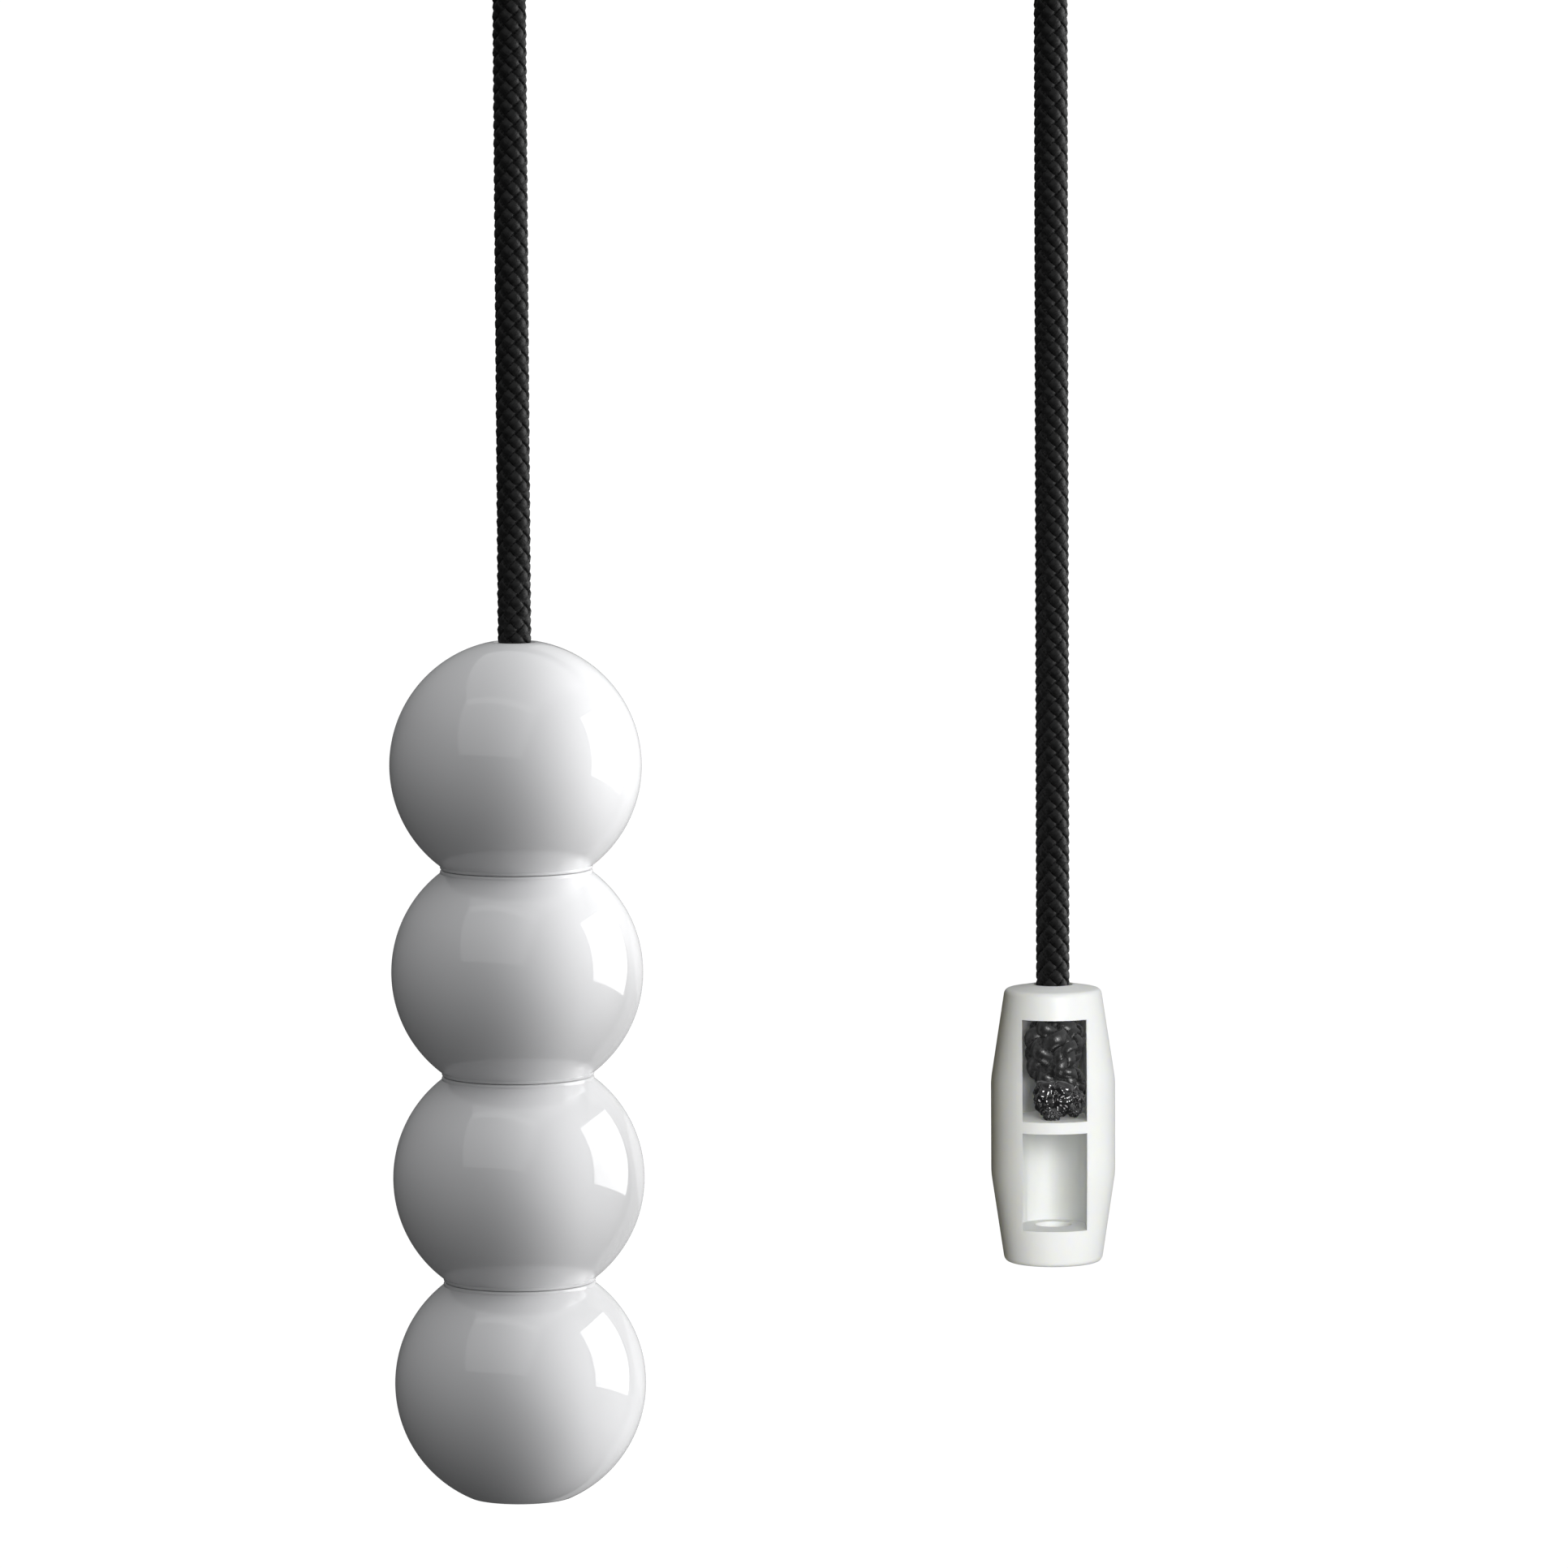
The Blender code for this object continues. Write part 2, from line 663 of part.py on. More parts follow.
def contact_arm(side, label, pivot):
    pivot_x = gang_x(side, ARM_PIVOT_U)
    rivet_x = gang_x(side, RIVET_U)
    rivet_y = sum(ARM_Y) / 2
    blade = gang_block(side, (RIVET_U - 1.5, ARM_PIVOT_U), ARM_Y, (ARM_TOP, ARM_TOP - ARM_THICK))
    joined = [
        rod(ARM_BARREL_R, (pivot_x, ARM_Y[0], ARM_PIVOT_Z), (pivot_x, ARM_Y[1], ARM_PIVOT_Z), 16),
        rod(RIVET_R, (rivet_x, rivet_y, ARM_TOP - 0.3), (rivet_x, rivet_y, ARM_RIVET_TIP), 16),
    ]
    hole_start = (pivot_x, ARM_Y[0] - 1, ARM_PIVOT_Z)
    pin_hole = rod(ARM_PIN_R + GAP, hole_start, (pivot_x, ARM_Y[1] + 1, ARM_PIVOT_Z), 12)
    piece(f"contact_arm_{label}", COPPER, blade, joined, [pin_hole], pivot)
    pin_y = (12.2, 17.1)
    pin = rod(ARM_PIN_R, (pivot_x, pin_y[0], ARM_PIVOT_Z), (pivot_x, pin_y[1], ARM_PIVOT_Z), 12)
    piece(f"arm_pin_{label}", STEEL, pin)


def arm_bracket(side, label):
    """Two ears for the arm's pin, and the strip that leads to the outgoing terminal."""
    ears_u = (ARM_PIVOT_U - 1.4, ARM_PIVOT_U + 1.4)
    ears_y = ((12.5, 13.0), (16.2, 16.8))
    ear_top = ARM_PIVOT_Z + 1.5
    strip_top = STRIP_BOTTOM + STRIP_THICK
    strip = gang_block(side, ears_u, (STRIP_END_Y, ears_y[1][1]), (STRIP_BOTTOM, strip_top))
    ears = [gang_block(side, ears_u, y_range, (STRIP_BOTTOM + 0.1, ear_top)) for y_range in ears_y]
    x = gang_x(side, ARM_PIVOT_U)
    hole = rod(ARM_PIN_R + GAP, (x, ears_y[0][0] - 1, ARM_PIVOT_Z), (x, ears_y[1][1] + 1, ARM_PIVOT_Z), 12)
    piece(f"arm_bracket_{label}", BRASS, strip, ears, [hole])


def fixed_contact(side, label):
    """A strip under the arm's rivet, and the leg that leads it to the incoming terminal."""
    strip_top = STRIP_BOTTOM + STRIP_THICK
    strip_y = (ARM_Y[0] - 0.1, ARM_Y[1] + 0.1)
    leg_u = (13.2, 15.7)
    strip = gang_block(side, (RIVET_U - 1.5, leg_u[1]), strip_y, (STRIP_BOTTOM, strip_top))
    leg = gang_block(side, leg_u, (STRIP_END_Y, strip_y[1] - 0.4), (STRIP_BOTTOM, strip_top))
    x = gang_x(side, RIVET_U)
    y = sum(strip_y) / 2
    rivet = rod(RIVET_R, (x, y, FIXED_RIVET_TOP), (x, y, STRIP_BOTTOM + 0.2), 16)
    piece(f"fixed_contact_{label}", COPPER, strip, [leg, rivet])


def terminals(side, label):
    y = sum(TERMINAL_Y) / 2
    wire_z = TERMINAL_TOP - 2.9
    for name, u_range in TERMINALS_U.items():
        x = gang_x(side, sum(u_range) / 2)
        body = gang_block(side, u_range, TERMINAL_Y, (FLOOR_TOP + GAP, TERMINAL_TOP))
        wire_hole = rod(TERMINAL_WIRE_R, (x, TERMINAL_Y[0] - 1, wire_z), (x, y + 2.0, wire_z), 12)
        screw_hole = rod(PILOT_R, (x, y, wire_z), (x, y, FLOOR_TOP - 1), 10)
        piece(f"terminal_{name}_{label}", BRASS, body, cut=[wire_hole, screw_hole])
        screw(
            f"terminal_screw_{name}_{label}",
            x,
            y,
            head_top=FLOOR_TOP,
            head_bottom=FLOOR_TOP - 2.3,
            head_r=2.3,
            tip=wire_z - TERMINAL_WIRE_R,
        )


def mechanism(side, label):
    """All that one cord works. Returns the empty that moves with the cord."""
    pull = pivot_empty(f"pull_{label}_pivot", side * CORD_X, 0.0, 0.0)
    rotor = pivot_empty(f"rotor_{label}_pivot", gang_x(side, ROTOR_U), sum(RATCHET_Y) / 2, ROTOR_Z)
    arm = pivot_empty(f"contact_{label}_pivot", gang_x(side, ARM_PIVOT_U), sum(ARM_Y) / 2, ARM_PIVOT_Z)
    cord_guide(side, label)
    carrier(side, label)
    pull_slider(side, label, pull)
    knot_bottom = CUP_RECESS_BOTTOM + GAP
    knot(f"slider_knot_{label}", side * CORD_X, SLIDER_KNOT_TOP, knot_bottom, SLIDER_KNOT_R, pull)
    return_spring(side, label)
    ratchet_rotor(side, label, rotor)
    contact_arm(side, label, arm)
    arm_bracket(side, label)
    fixed_contact(side, label)
    terminals(side, label)
    return pull


# What hangs on the cords


def cord(name, x, top, bottom, pivot):
    """A cord that hangs straight down, with a point every two or three diameters."""
    count = round((top - bottom) / CORD_POINT_STEP)
    points = [(x, 0.0, top + (bottom - top) * i / count) for i in range(count + 1)]
    piece(name, CORD_BLACK, welded_mesh_object(tube(name, points, CORD_R)), pivot=pivot)


def ball(number, pull):
    """A ball with a bore. Where two balls meet, each is cut flat with a short collar."""
    x = -CORD_X
    centre = BALL_TOP_Z - BALL_PITCH * (number - 1)
    first = number == 1
    last = number == BALL_COUNT
    half_pitch = (BALL_PITCH - GAP) / 2
    neck_angle = math.degrees(math.acos(BALL_NECK_R / BALL_R))
    top_angle = math.degrees(math.asin(FIRST_BALL_FLAT / BALL_R)) if first else neck_angle
    bottom_angle = math.degrees(math.asin(LAST_BALL_FLAT / BALL_R)) if last else neck_angle
    side_points = arc(0.0, centre, BALL_R, top_angle, -bottom_angle, 8)
    profile = [(BALL_BORE, centre + FIRST_BALL_FLAT)] if first else [
        (BALL_BORE, centre + half_pitch),
        (BALL_NECK_R, centre + half_pitch),
    ]
    profile += side_points
    if last:
        pocket_top = centre - LAST_BALL_FLAT + KNOT_POCKET_DEPTH
        profile += [
            (KNOT_POCKET_R, centre - LAST_BALL_FLAT),
            (KNOT_POCKET_R, pocket_top),
            (BALL_BORE, pocket_top),
        ]
    else:
        profile += [(BALL_NECK_R, centre - half_pitch), (BALL_BORE, centre - half_pitch)]
    pivot = pivot_empty(f"ball_{number}_pivot", x, 0.0, centre, pull)
    piece(f"ball_{number}", BALL_WHITE, turned(profile, x, closed=True, steps=20), pivot=pivot)


def handle(pull):
    """The left cord with its four balls, held up by a washer and a knot in the last one's pocket."""
    last_centre = BALL_TOP_Z - BALL_PITCH * (BALL_COUNT - 1)
    washer_top = last_centre - LAST_BALL_FLAT + KNOT_POCKET_DEPTH - GAP
    washer_bottom = washer_top - WASHER_THICK
    cord("handle_cord", -CORD_X, CUP_RECESS_BOTTOM, washer_bottom, pull)
    for number in range(1, BALL_COUNT + 1):
        ball(number, pull)
    washer = ring(CORD_BORE, KNOT_POCKET_R - 0.4, washer_top, washer_bottom, -CORD_X)
    piece("handle_washer", STEEL, washer, pivot=pull)
    knot_top = washer_bottom - GAP
    knot("handle_end_knot", -CORD_X, knot_top, knot_top - HANDLE_KNOT_LENGTH, HANDLE_KNOT_R, pull)


def pocket(top, bottom):
    """The room behind one window: as wide as the window, round at the back and open at the front."""
    points = [(CORD_X - POCKET_R, POCKET_MOUTH_Y), (CORD_X + POCKET_R, POCKET_MOUTH_Y)]
    points += arc(CORD_X, 0.0, POCKET_R, 0, 180, 14)
    return plan(points, top, bottom)


def connector(pull):
    """The right cord with its connector, which hangs on the cord's knot and turns about the cord."""
    edge = CONNECTOR_EDGE_ROUND
    profile = [
        (0.0, CONNECTOR_TOP),
        (CORD_BORE + 0.2, CONNECTOR_TOP),
        *arc(CONNECTOR_TOP_R - edge, CONNECTOR_TOP - CONNECTOR_DOME - edge, edge, 80, 10, 3),
        (CONNECTOR_MIDDLE_R, CONNECTOR_STRAIGHT[0]),
        (CONNECTOR_MIDDLE_R, CONNECTOR_STRAIGHT[1]),
        *arc(CONNECTOR_BOTTOM_R - edge, CONNECTOR_BOTTOM + edge, edge, -10, -90, 3),
        (0.0, CONNECTOR_BOTTOM),
    ]
    swivel = pivot_empty("connector_pivot", CORD_X, 0.0, CONNECTOR_TOP, pull)
    cut = [
        pocket(*UPPER_POCKET),
        pocket(*LOWER_POCKET),
        rod(CORD_BORE, (CORD_X, 0, CONNECTOR_TOP + 1), (CORD_X, 0, UPPER_POCKET[0] - 1), 20),
        rod(LOWER_BORE, (CORD_X, 0, LOWER_POCKET[1] + 1), (CORD_X, 0, CONNECTOR_BOTTOM - 1), 20),
    ]
    body = turned(profile, CORD_X, steps=32)
    piece("connector_body", CONNECTOR_WHITE, body, cut=cut, pivot=swivel)
    cord_end = UPPER_POCKET[0] - GAP
    cord("connector_cord", CORD_X, CUP_RECESS_BOTTOM, cord_end, pull)
    knot("connector_knot", CORD_X, cord_end - GAP, UPPER_POCKET[1] + GAP, CONNECTOR_KNOT_R, swivel)


base_plate()
cover()
earth_terminal()
left_pull = mechanism(-1, "left")
right_pull = mechanism(1, "right")
handle(left_pull)
connector(right_pull)
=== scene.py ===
import json
import math

import bmesh
import bpy
import numpy as np
from mathutils import Matrix, Quaternion, Vector, noise


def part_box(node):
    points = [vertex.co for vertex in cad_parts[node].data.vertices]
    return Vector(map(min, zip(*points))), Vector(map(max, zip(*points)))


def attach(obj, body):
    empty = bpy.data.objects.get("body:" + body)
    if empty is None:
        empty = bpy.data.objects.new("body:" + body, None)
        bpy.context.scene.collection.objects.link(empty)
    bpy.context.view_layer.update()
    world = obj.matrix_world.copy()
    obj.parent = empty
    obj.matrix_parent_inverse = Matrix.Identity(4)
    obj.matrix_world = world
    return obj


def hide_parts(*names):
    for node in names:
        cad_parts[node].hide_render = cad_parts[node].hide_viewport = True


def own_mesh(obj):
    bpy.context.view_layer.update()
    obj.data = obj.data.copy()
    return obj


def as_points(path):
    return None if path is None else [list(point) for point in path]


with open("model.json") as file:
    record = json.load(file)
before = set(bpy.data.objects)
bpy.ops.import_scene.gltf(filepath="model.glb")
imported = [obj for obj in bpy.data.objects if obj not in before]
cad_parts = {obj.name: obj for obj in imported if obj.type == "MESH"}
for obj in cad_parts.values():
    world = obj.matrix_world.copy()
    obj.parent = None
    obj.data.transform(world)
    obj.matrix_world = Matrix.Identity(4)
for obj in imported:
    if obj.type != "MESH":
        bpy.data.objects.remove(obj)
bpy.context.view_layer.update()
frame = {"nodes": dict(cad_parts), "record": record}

MM = 0.001

# The object's own places, all from the frame. The left cord carries the balls, the right one the connector.
BALLS = [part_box(f"ball_{number}") for number in range(1, 5)]
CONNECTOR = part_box("connector_body")
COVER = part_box("cover")
LEFT_X = (BALLS[0][0].x + BALLS[0][1].x) / 2
RIGHT_X = (CONNECTOR[0].x + CONNECTOR[1].x) / 2
CORD_X = (RIGHT_X - LEFT_X) / 2
CORD_R = 2.0 * MM
CORD_BORE_R = 2.35 * MM
BALL_R = 15.0 * MM
BALL_CENTRE = Vector((LEFT_X, 0.0, (BALLS[1][0].z + BALLS[2][1].z) / 2))
CONNECTOR_CENTRE = (CONNECTOR[0] + CONNECTOR[1]) / 2

# Camera: a long lens, a little above the connector and the balls
CAMERA_AIM_Z = -0.1442
CAMERA_ELEVATION = math.radians(5.5)
CAMERA_ROLL = math.radians(-0.3)
CAMERA_DISTANCE = 1.0
VIEW_WIDTH = 0.1864
SENSOR = 36.0

# The surroundings' brightness, and how it changes with direction
WORLD_LEVEL = 0.195
WORLD_SLOPES = (("X", 0.30), ("Z", 0.42))
WORLD_LEAST = 0.07


# Scene: camera, stage and lights


def make_camera():
    data = bpy.data.cameras.new("camera")
    data.sensor_width = SENSOR
    data.lens = SENSOR * CAMERA_DISTANCE / VIEW_WIDTH
    data.clip_start = 0.1
    data.clip_end = 50.0
    camera = bpy.data.objects.new("camera", data)
    bpy.context.scene.collection.objects.link(camera)
    back = Vector((0.0, -math.cos(CAMERA_ELEVATION), math.sin(CAMERA_ELEVATION)))
    aim = Vector((0.0, 0.0, CAMERA_AIM_Z))
    turn = (-back).to_track_quat("-Z", "Y").to_matrix().to_4x4()
    camera.matrix_world = (
        Matrix.Translation(aim + back * CAMERA_DISTANCE) @ turn @ Matrix.Rotation(CAMERA_ROLL, 4, "Z")
    )
    bpy.context.scene.camera = camera


def make_stage():
    """A pale floor that curves up into a wall and a dome. It glows for the camera and lights nothing."""
    radius = 5.0
    floor_z = -4.3
    bend = 1.4
    wall_top = 3.0
    dome_height = 2.0
    arc_steps = 8
    profile = [(0.0, floor_z)]
    for i in range(arc_steps + 1):
        angle = math.radians(-90 + 90 * i / arc_steps)
        profile.append((radius - bend + bend * math.cos(angle), floor_z + bend + bend * math.sin(angle)))
    profile.append((radius, wall_top))
    for i in range(1, arc_steps + 1):
        angle = math.radians(90 * i / arc_steps)
        profile.append((radius * math.cos(angle), wall_top + dome_height * math.sin(angle)))
    stage = turned("stage", profile, 0.0, closed=False, segments=64)
    glow = bpy.data.materials.new("stage_white")
    glow.use_nodes = True
    nodes = glow.node_tree.nodes
    nodes.clear()
    emission = nodes.new("ShaderNodeEmission")
    emission.inputs["Color"].default_value = (1.0, 1.0, 1.0, 1.0)
    emission.inputs["Strength"].default_value = 1.05
    output = nodes.new("ShaderNodeOutputMaterial")
    glow.node_tree.links.new(emission.outputs["Emission"], output.inputs["Surface"])
    stage.data.materials.append(glow)
    stage.visible_diffuse = False
    stage.visible_glossy = False
    stage.visible_transmission = False
    stage.visible_shadow = False


def make_flag():
    """A dark card that keeps the balls' light off the connector's left edge. Only diffuse rays see it."""
    width = 30.0 * MM
    height = 60.0 * MM
    beside = 16.0 * MM
    vertices = [(0.0, -width / 2, -height / 2), (0.0, width / 2, -height / 2)]
    vertices += [(0.0, width / 2, height / 2), (0.0, -width / 2, height / 2)]
    flag = mesh_object("flag", vertices, [(0, 1, 2, 3)])
    flag.location = CONNECTOR_CENTRE - Vector((beside, 0.0, 0.0))
    card = Nodes("flag_card")
    olive = card.colours(card.noise(40.0), (0.3, (0.16, 0.135, 0.035)), (0.7, (0.18, 0.15, 0.045)))
    card.link(olive, card.shader.inputs["Base Color"])
    flag.data.materials.append(card.material)
    flag.visible_camera = False
    flag.visible_glossy = False
    flag.visible_transmission = False
    flag.visible_shadow = False


def receivers(name, pieces):
    """A collection that only tells a light which pieces it reaches, or which ones cast its shadows."""
    collection = bpy.data.collections.new(name)
    bpy.context.scene.collection.children.link(collection)
    for piece in pieces:
        collection.objects.link(piece)
    return collection


def softbox(name, target, azimuth, elevation, distance, size, power, only=None, shadows=None, roll=0):
    """A rectangular light that faces target. Azimuth 0 is behind the camera, and 90 is on the right."""
    data = bpy.data.lights.new(name, "AREA")
    data.shape = "RECTANGLE"
    data.size, data.size_y = size
    data.energy = power
    light = bpy.data.objects.new(name, data)
    bpy.context.scene.collection.objects.link(light)
    a = math.radians(azimuth)
    e = math.radians(elevation)
    away = Vector((math.sin(a) * math.cos(e), -math.cos(a) * math.cos(e), math.sin(e)))
    light.location = Vector(target) + away * distance
    light.rotation_mode = "QUATERNION"
    light.rotation_quaternion = away.to_track_quat("Z", "Y") @ Quaternion((0.0, 0.0, 1.0), math.radians(roll))
    if only:
        light.light_linking.receiver_collection = only
    if shadows:
        light.light_linking.blocker_collection = shadows
    return light


def make_world():
    """A studio's grey surroundings: pale above and to the right, dark to the left and below."""
    world = bpy.data.worlds.new("studio")
    bpy.context.scene.world = world
    world.use_nodes = True
    nodes = world.node_tree.nodes
    links = world.node_tree.links
    direction = nodes.new("ShaderNodeTexCoord")
    split = nodes.new("ShaderNodeSeparateXYZ")
    links.new(direction.outputs["Generated"], split.inputs[0])
    level = None
    for axis, slope in WORLD_SLOPES:
        add = nodes.new("ShaderNodeMath")
        add.operation = "MULTIPLY_ADD"
        add.inputs[1].default_value = slope
        add.inputs[2].default_value = WORLD_LEVEL
        links.new(split.outputs[axis], add.inputs[0])
        if level:
            links.new(level, add.inputs[2])
        level = add.outputs[0]
    least = nodes.new("ShaderNodeMath")
    least.operation = "MAXIMUM"
    least.inputs[1].default_value = WORLD_LEAST
    links.new(level, least.inputs[0])
    links.new(least.outputs[0], nodes["Background"].inputs["Strength"])
    nodes["Background"].inputs["Color"].default_value = (0.98, 0.99, 1.0, 1.0)


# Mesh helpers


def mesh_object(name, vertices, faces, smooth_angle=40):
    mesh = bpy.data.meshes.new(name)
    mesh.from_pydata([tuple(v) for v in vertices], [], faces)
    bm = bmesh.new()
    bm.from_mesh(mesh)
    bmesh.ops.recalc_face_normals(bm, faces=bm.faces)
    bm.to_mesh(mesh)
    bm.free()
    mesh.shade_smooth()
    mesh.set_sharp_from_angle(angle=math.radians(smooth_angle))
    obj = bpy.data.objects.new(name, mesh)
    bpy.context.scene.collection.objects.link(obj)
    return obj


def rings_to_faces(ring_count, ring_size, wrap_rings):
    """The quads between loops of vertices that follow each other."""
    faces = []
    last = ring_count if wrap_rings else ring_count - 1
    for ring in range(last):
        a = ring * ring_size
        b = (ring + 1) % ring_count * ring_size
        for i in range(ring_size):
            j = (i + 1) % ring_size
            faces.append((a + i, a + j, b + j, b + i))
    return faces


def turned(name, profile, x, closed=True, segments=128, smooth_angle=40):
    """A profile of (radius, z) points turned about the upright axis at x. An open one ends on the axis."""
    angles = [2 * math.pi * i / segments for i in range(segments)]
    vertices = [(x + r * math.cos(a), r * math.sin(a), z) for r, z in profile for a in angles]
    faces = rings_to_faces(len(profile), segments, closed)
    obj = mesh_object(name, vertices, faces, smooth_angle)
    weld(obj)
    return obj


def weld(obj, distance=1e-7):
    bm = bmesh.new()
    bm.from_mesh(obj.data)
    bmesh.ops.remove_doubles(bm, verts=bm.verts, dist=distance)
    bmesh.ops.dissolve_degenerate(bm, edges=bm.edges, dist=distance)
    bmesh.ops.recalc_face_normals(bm, faces=bm.faces)
    bm.to_mesh(obj.data)
    bm.free()


def filleted(points, steps=5, cyclic=True):
    """An outline whose corners are rounded. Each point is (radius, z, fillet)."""
    result = []
    count = len(points)
    for i, (radius, z, fillet) in enumerate(points):
        corner = Vector((radius, z))
        if not fillet or (not cyclic and i in (0, count - 1)):
            result.append(tuple(corner))
            continue
        before = Vector(points[i - 1][:2]) - corner
        after = Vector(points[(i + 1) % count][:2]) - corner
        half = before.angle(after) / 2
        back = min(fillet / math.tan(half), 0.49 * before.length, 0.49 * after.length)
        start = corner + before.normalized() * back
        end = corner + after.normalized() * back
        for step in range(steps + 1):
            t = step / steps
            result.append(tuple(start.lerp(corner, t).lerp(corner.lerp(end, t), t)))
    return result


def boolean(obj, other, operation="DIFFERENCE"):
    """Cuts or joins a shape, applies it, and removes the other shape."""
    modifier = obj.modifiers.new("boolean", "BOOLEAN")
    modifier.operation = operation
    modifier.object = other
    modifier.solver = "EXACT"
    apply_modifiers(obj)
    bpy.data.objects.remove(other)


def apply_modifiers(obj):
    bpy.context.view_layer.update()
    graph = bpy.context.evaluated_depsgraph_get()
    mesh = bpy.data.meshes.new_from_object(obj.evaluated_get(graph))
    obj.modifiers.clear()
    obj.data = mesh


def smooth(obj, angle=35):
    obj.data.shade_smooth()
    obj.data.set_sharp_from_angle(angle=math.radians(angle))


def dress(obj, finish, body, slot, *replaced):
    """A finished piece: its material, the body that it rides on, and the CAD node that it stands for."""
    obj.data.materials.clear()
    obj.data.materials.append(finish)
    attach(obj, body)
    if replaced:
        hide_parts(*replaced)
    return obj


# Materials


class Nodes:
    """The node tree of one new material."""

    def __init__(self, name):
        self.material = bpy.data.materials.new(name)
        self.material.use_nodes = True
        self.tree = self.material.node_tree
        self.shader = self.tree.nodes["Principled BSDF"]
        self.place = self.add("ShaderNodeTexCoord").outputs["Object"]

    def add(self, kind, **values):
        node = self.tree.nodes.new(kind)
        for key, value in values.items():
            setattr(node, key, value)
        return node

    def link(self, source, target):
        self.tree.links.new(source, target)

    def noise(self, scale, detail=3.0, roughness=0.5, place=None):
        node = self.add("ShaderNodeTexNoise")
        node.inputs["Scale"].default_value = scale
        node.inputs["Detail"].default_value = detail
        node.inputs["Roughness"].default_value = roughness
        self.link(place or self.place, node.inputs["Vector"])
        return node.outputs["Fac"]

    def between(self, factor, low, high):
        node = self.add("ShaderNodeMapRange")
        node.inputs["To Min"].default_value = low
        node.inputs["To Max"].default_value = high
        self.link(factor, node.inputs["Value"])
        return node.outputs["Result"]

    def colours(self, factor, *stops):
        """A colour ramp. Each stop is (position, colour)."""
        ramp = self.add("ShaderNodeValToRGB").color_ramp
        node = self.tree.nodes[-1]
        while len(ramp.elements) < len(stops):
            ramp.elements.new(0.5)
        for element, (position, colour) in zip(ramp.elements, stops):
            element.position = position
            element.color = (*colour, 1.0)
        self.link(factor, node.inputs["Fac"])
        return node.outputs["Color"]

    def bump(self, height, strength, distance, normal=None):
        node = self.add("ShaderNodeBump")
        node.inputs["Strength"].default_value = strength
        node.inputs["Distance"].default_value = distance
        self.link(height, node.inputs["Height"])
        if normal:
            self.link(normal, node.inputs["Normal"])
        self.link(node.outputs["Normal"], self.shader.inputs["Normal"])
        return node.outputs["Normal"]

    def product(self, first, second):
        node = self.add("ShaderNodeMath", operation="MULTIPLY")
        self.link(first, node.inputs[0])
        self.link(second, node.inputs[1])
        return node.outputs[0]

    def strand_crown(self, uv):
        """1 along the outer crown of a braid's strand, and 0 from its sides inwards."""
        split = self.add("ShaderNodeSeparateXYZ")
        self.link(uv, split.inputs[0])
        turn = self.add("ShaderNodeMath", operation="MULTIPLY")
        turn.inputs[1].default_value = 2 * math.pi
        self.link(split.outputs["X"], turn.inputs[0])
        sine = self.add("ShaderNodeMath", operation="SINE")
        self.link(turn.outputs[0], sine.inputs[0])
        crown = self.add("ShaderNodeMapRange", interpolation_type="SMOOTHSTEP")
        crown.inputs["From Min"].default_value = 0.1
        crown.inputs["From Max"].default_value = 0.85
        self.link(sine.outputs[0], crown.inputs["Value"])
        return crown.outputs["Result"]

    def stretched(self, scale):
        node = self.add("ShaderNodeMapping")
        node.inputs["Scale"].default_value = scale
        self.link(self.place, node.inputs["Vector"])
        return node.outputs["Vector"]


def shade(colour, factor):
    return tuple(min(1.0, c * factor) for c in colour)


def moulded_plastic(name, colour, roughness, grain=0.25, mottle=0.03):
    """Moulded plastic: slight mottling, a faint spark-eroded grain, and gloss that varies a little."""
    m = Nodes(name)
    broad = m.noise(45.0, 2.0)
    fine = m.noise(2600.0, 2.0)
    tint = m.colours(broad, (0.2, shade(colour, 1 - mottle)), (0.8, shade(colour, 1 + mottle)))
    m.link(tint, m.shader.inputs["Base Color"])
    m.link(m.between(broad, roughness - 0.03, roughness + 0.03), m.shader.inputs["Roughness"])
    m.shader.inputs["IOR"].default_value = 1.49
    m.bump(fine, grain, 0.00003)
    return m.material


def housing_plastic():
    """Glossy moulded urea: a faint ripple in its faces, and dust that dulls its gloss here and there."""
    m = Nodes("housing_urea")
    colour = (0.82, 0.82, 0.80)
    broad = m.noise(12.0, 1.0)
    ripple = m.noise(300.0, 2.0)
    dust = m.noise(1800.0, 5.0, 0.65)
    tint = m.colours(broad, (0.3, shade(colour, 0.985)), (0.7, shade(colour, 1.01)))
    m.link(tint, m.shader.inputs["Base Color"])
    m.link(m.between(dust, 0.24, 0.33), m.shader.inputs["Roughness"])
    m.shader.inputs["IOR"].default_value = 1.49
    m.bump(ripple, 0.05, 0.00006)
    return m.material


def ball_lacquer():
    """Thick white gloss: a faint orange-peel ripple, and a few soft scuffs in the gloss."""
    m = Nodes("ball_gloss")
    colour = (0.80, 0.80, 0.81)
    broad = m.noise(35.0, 3.0)
    ripple = m.noise(420.0, 2.0)
    dust = m.noise(1800.0, 5.0, 0.65)
    tint = m.colours(broad, (0.3, shade(colour, 0.985)), (0.7, shade(colour, 1.01)))
    m.link(tint, m.shader.inputs["Base Color"])
    m.link(m.between(dust, 0.02, 0.075), m.shader.inputs["Roughness"])
    m.shader.inputs["IOR"].default_value = 1.53
    m.shader.inputs["Coat Weight"].default_value = 0.6
    m.shader.inputs["Coat Roughness"].default_value = 0.03
    m.bump(ripple, 0.05, 0.00006)
    return m.material


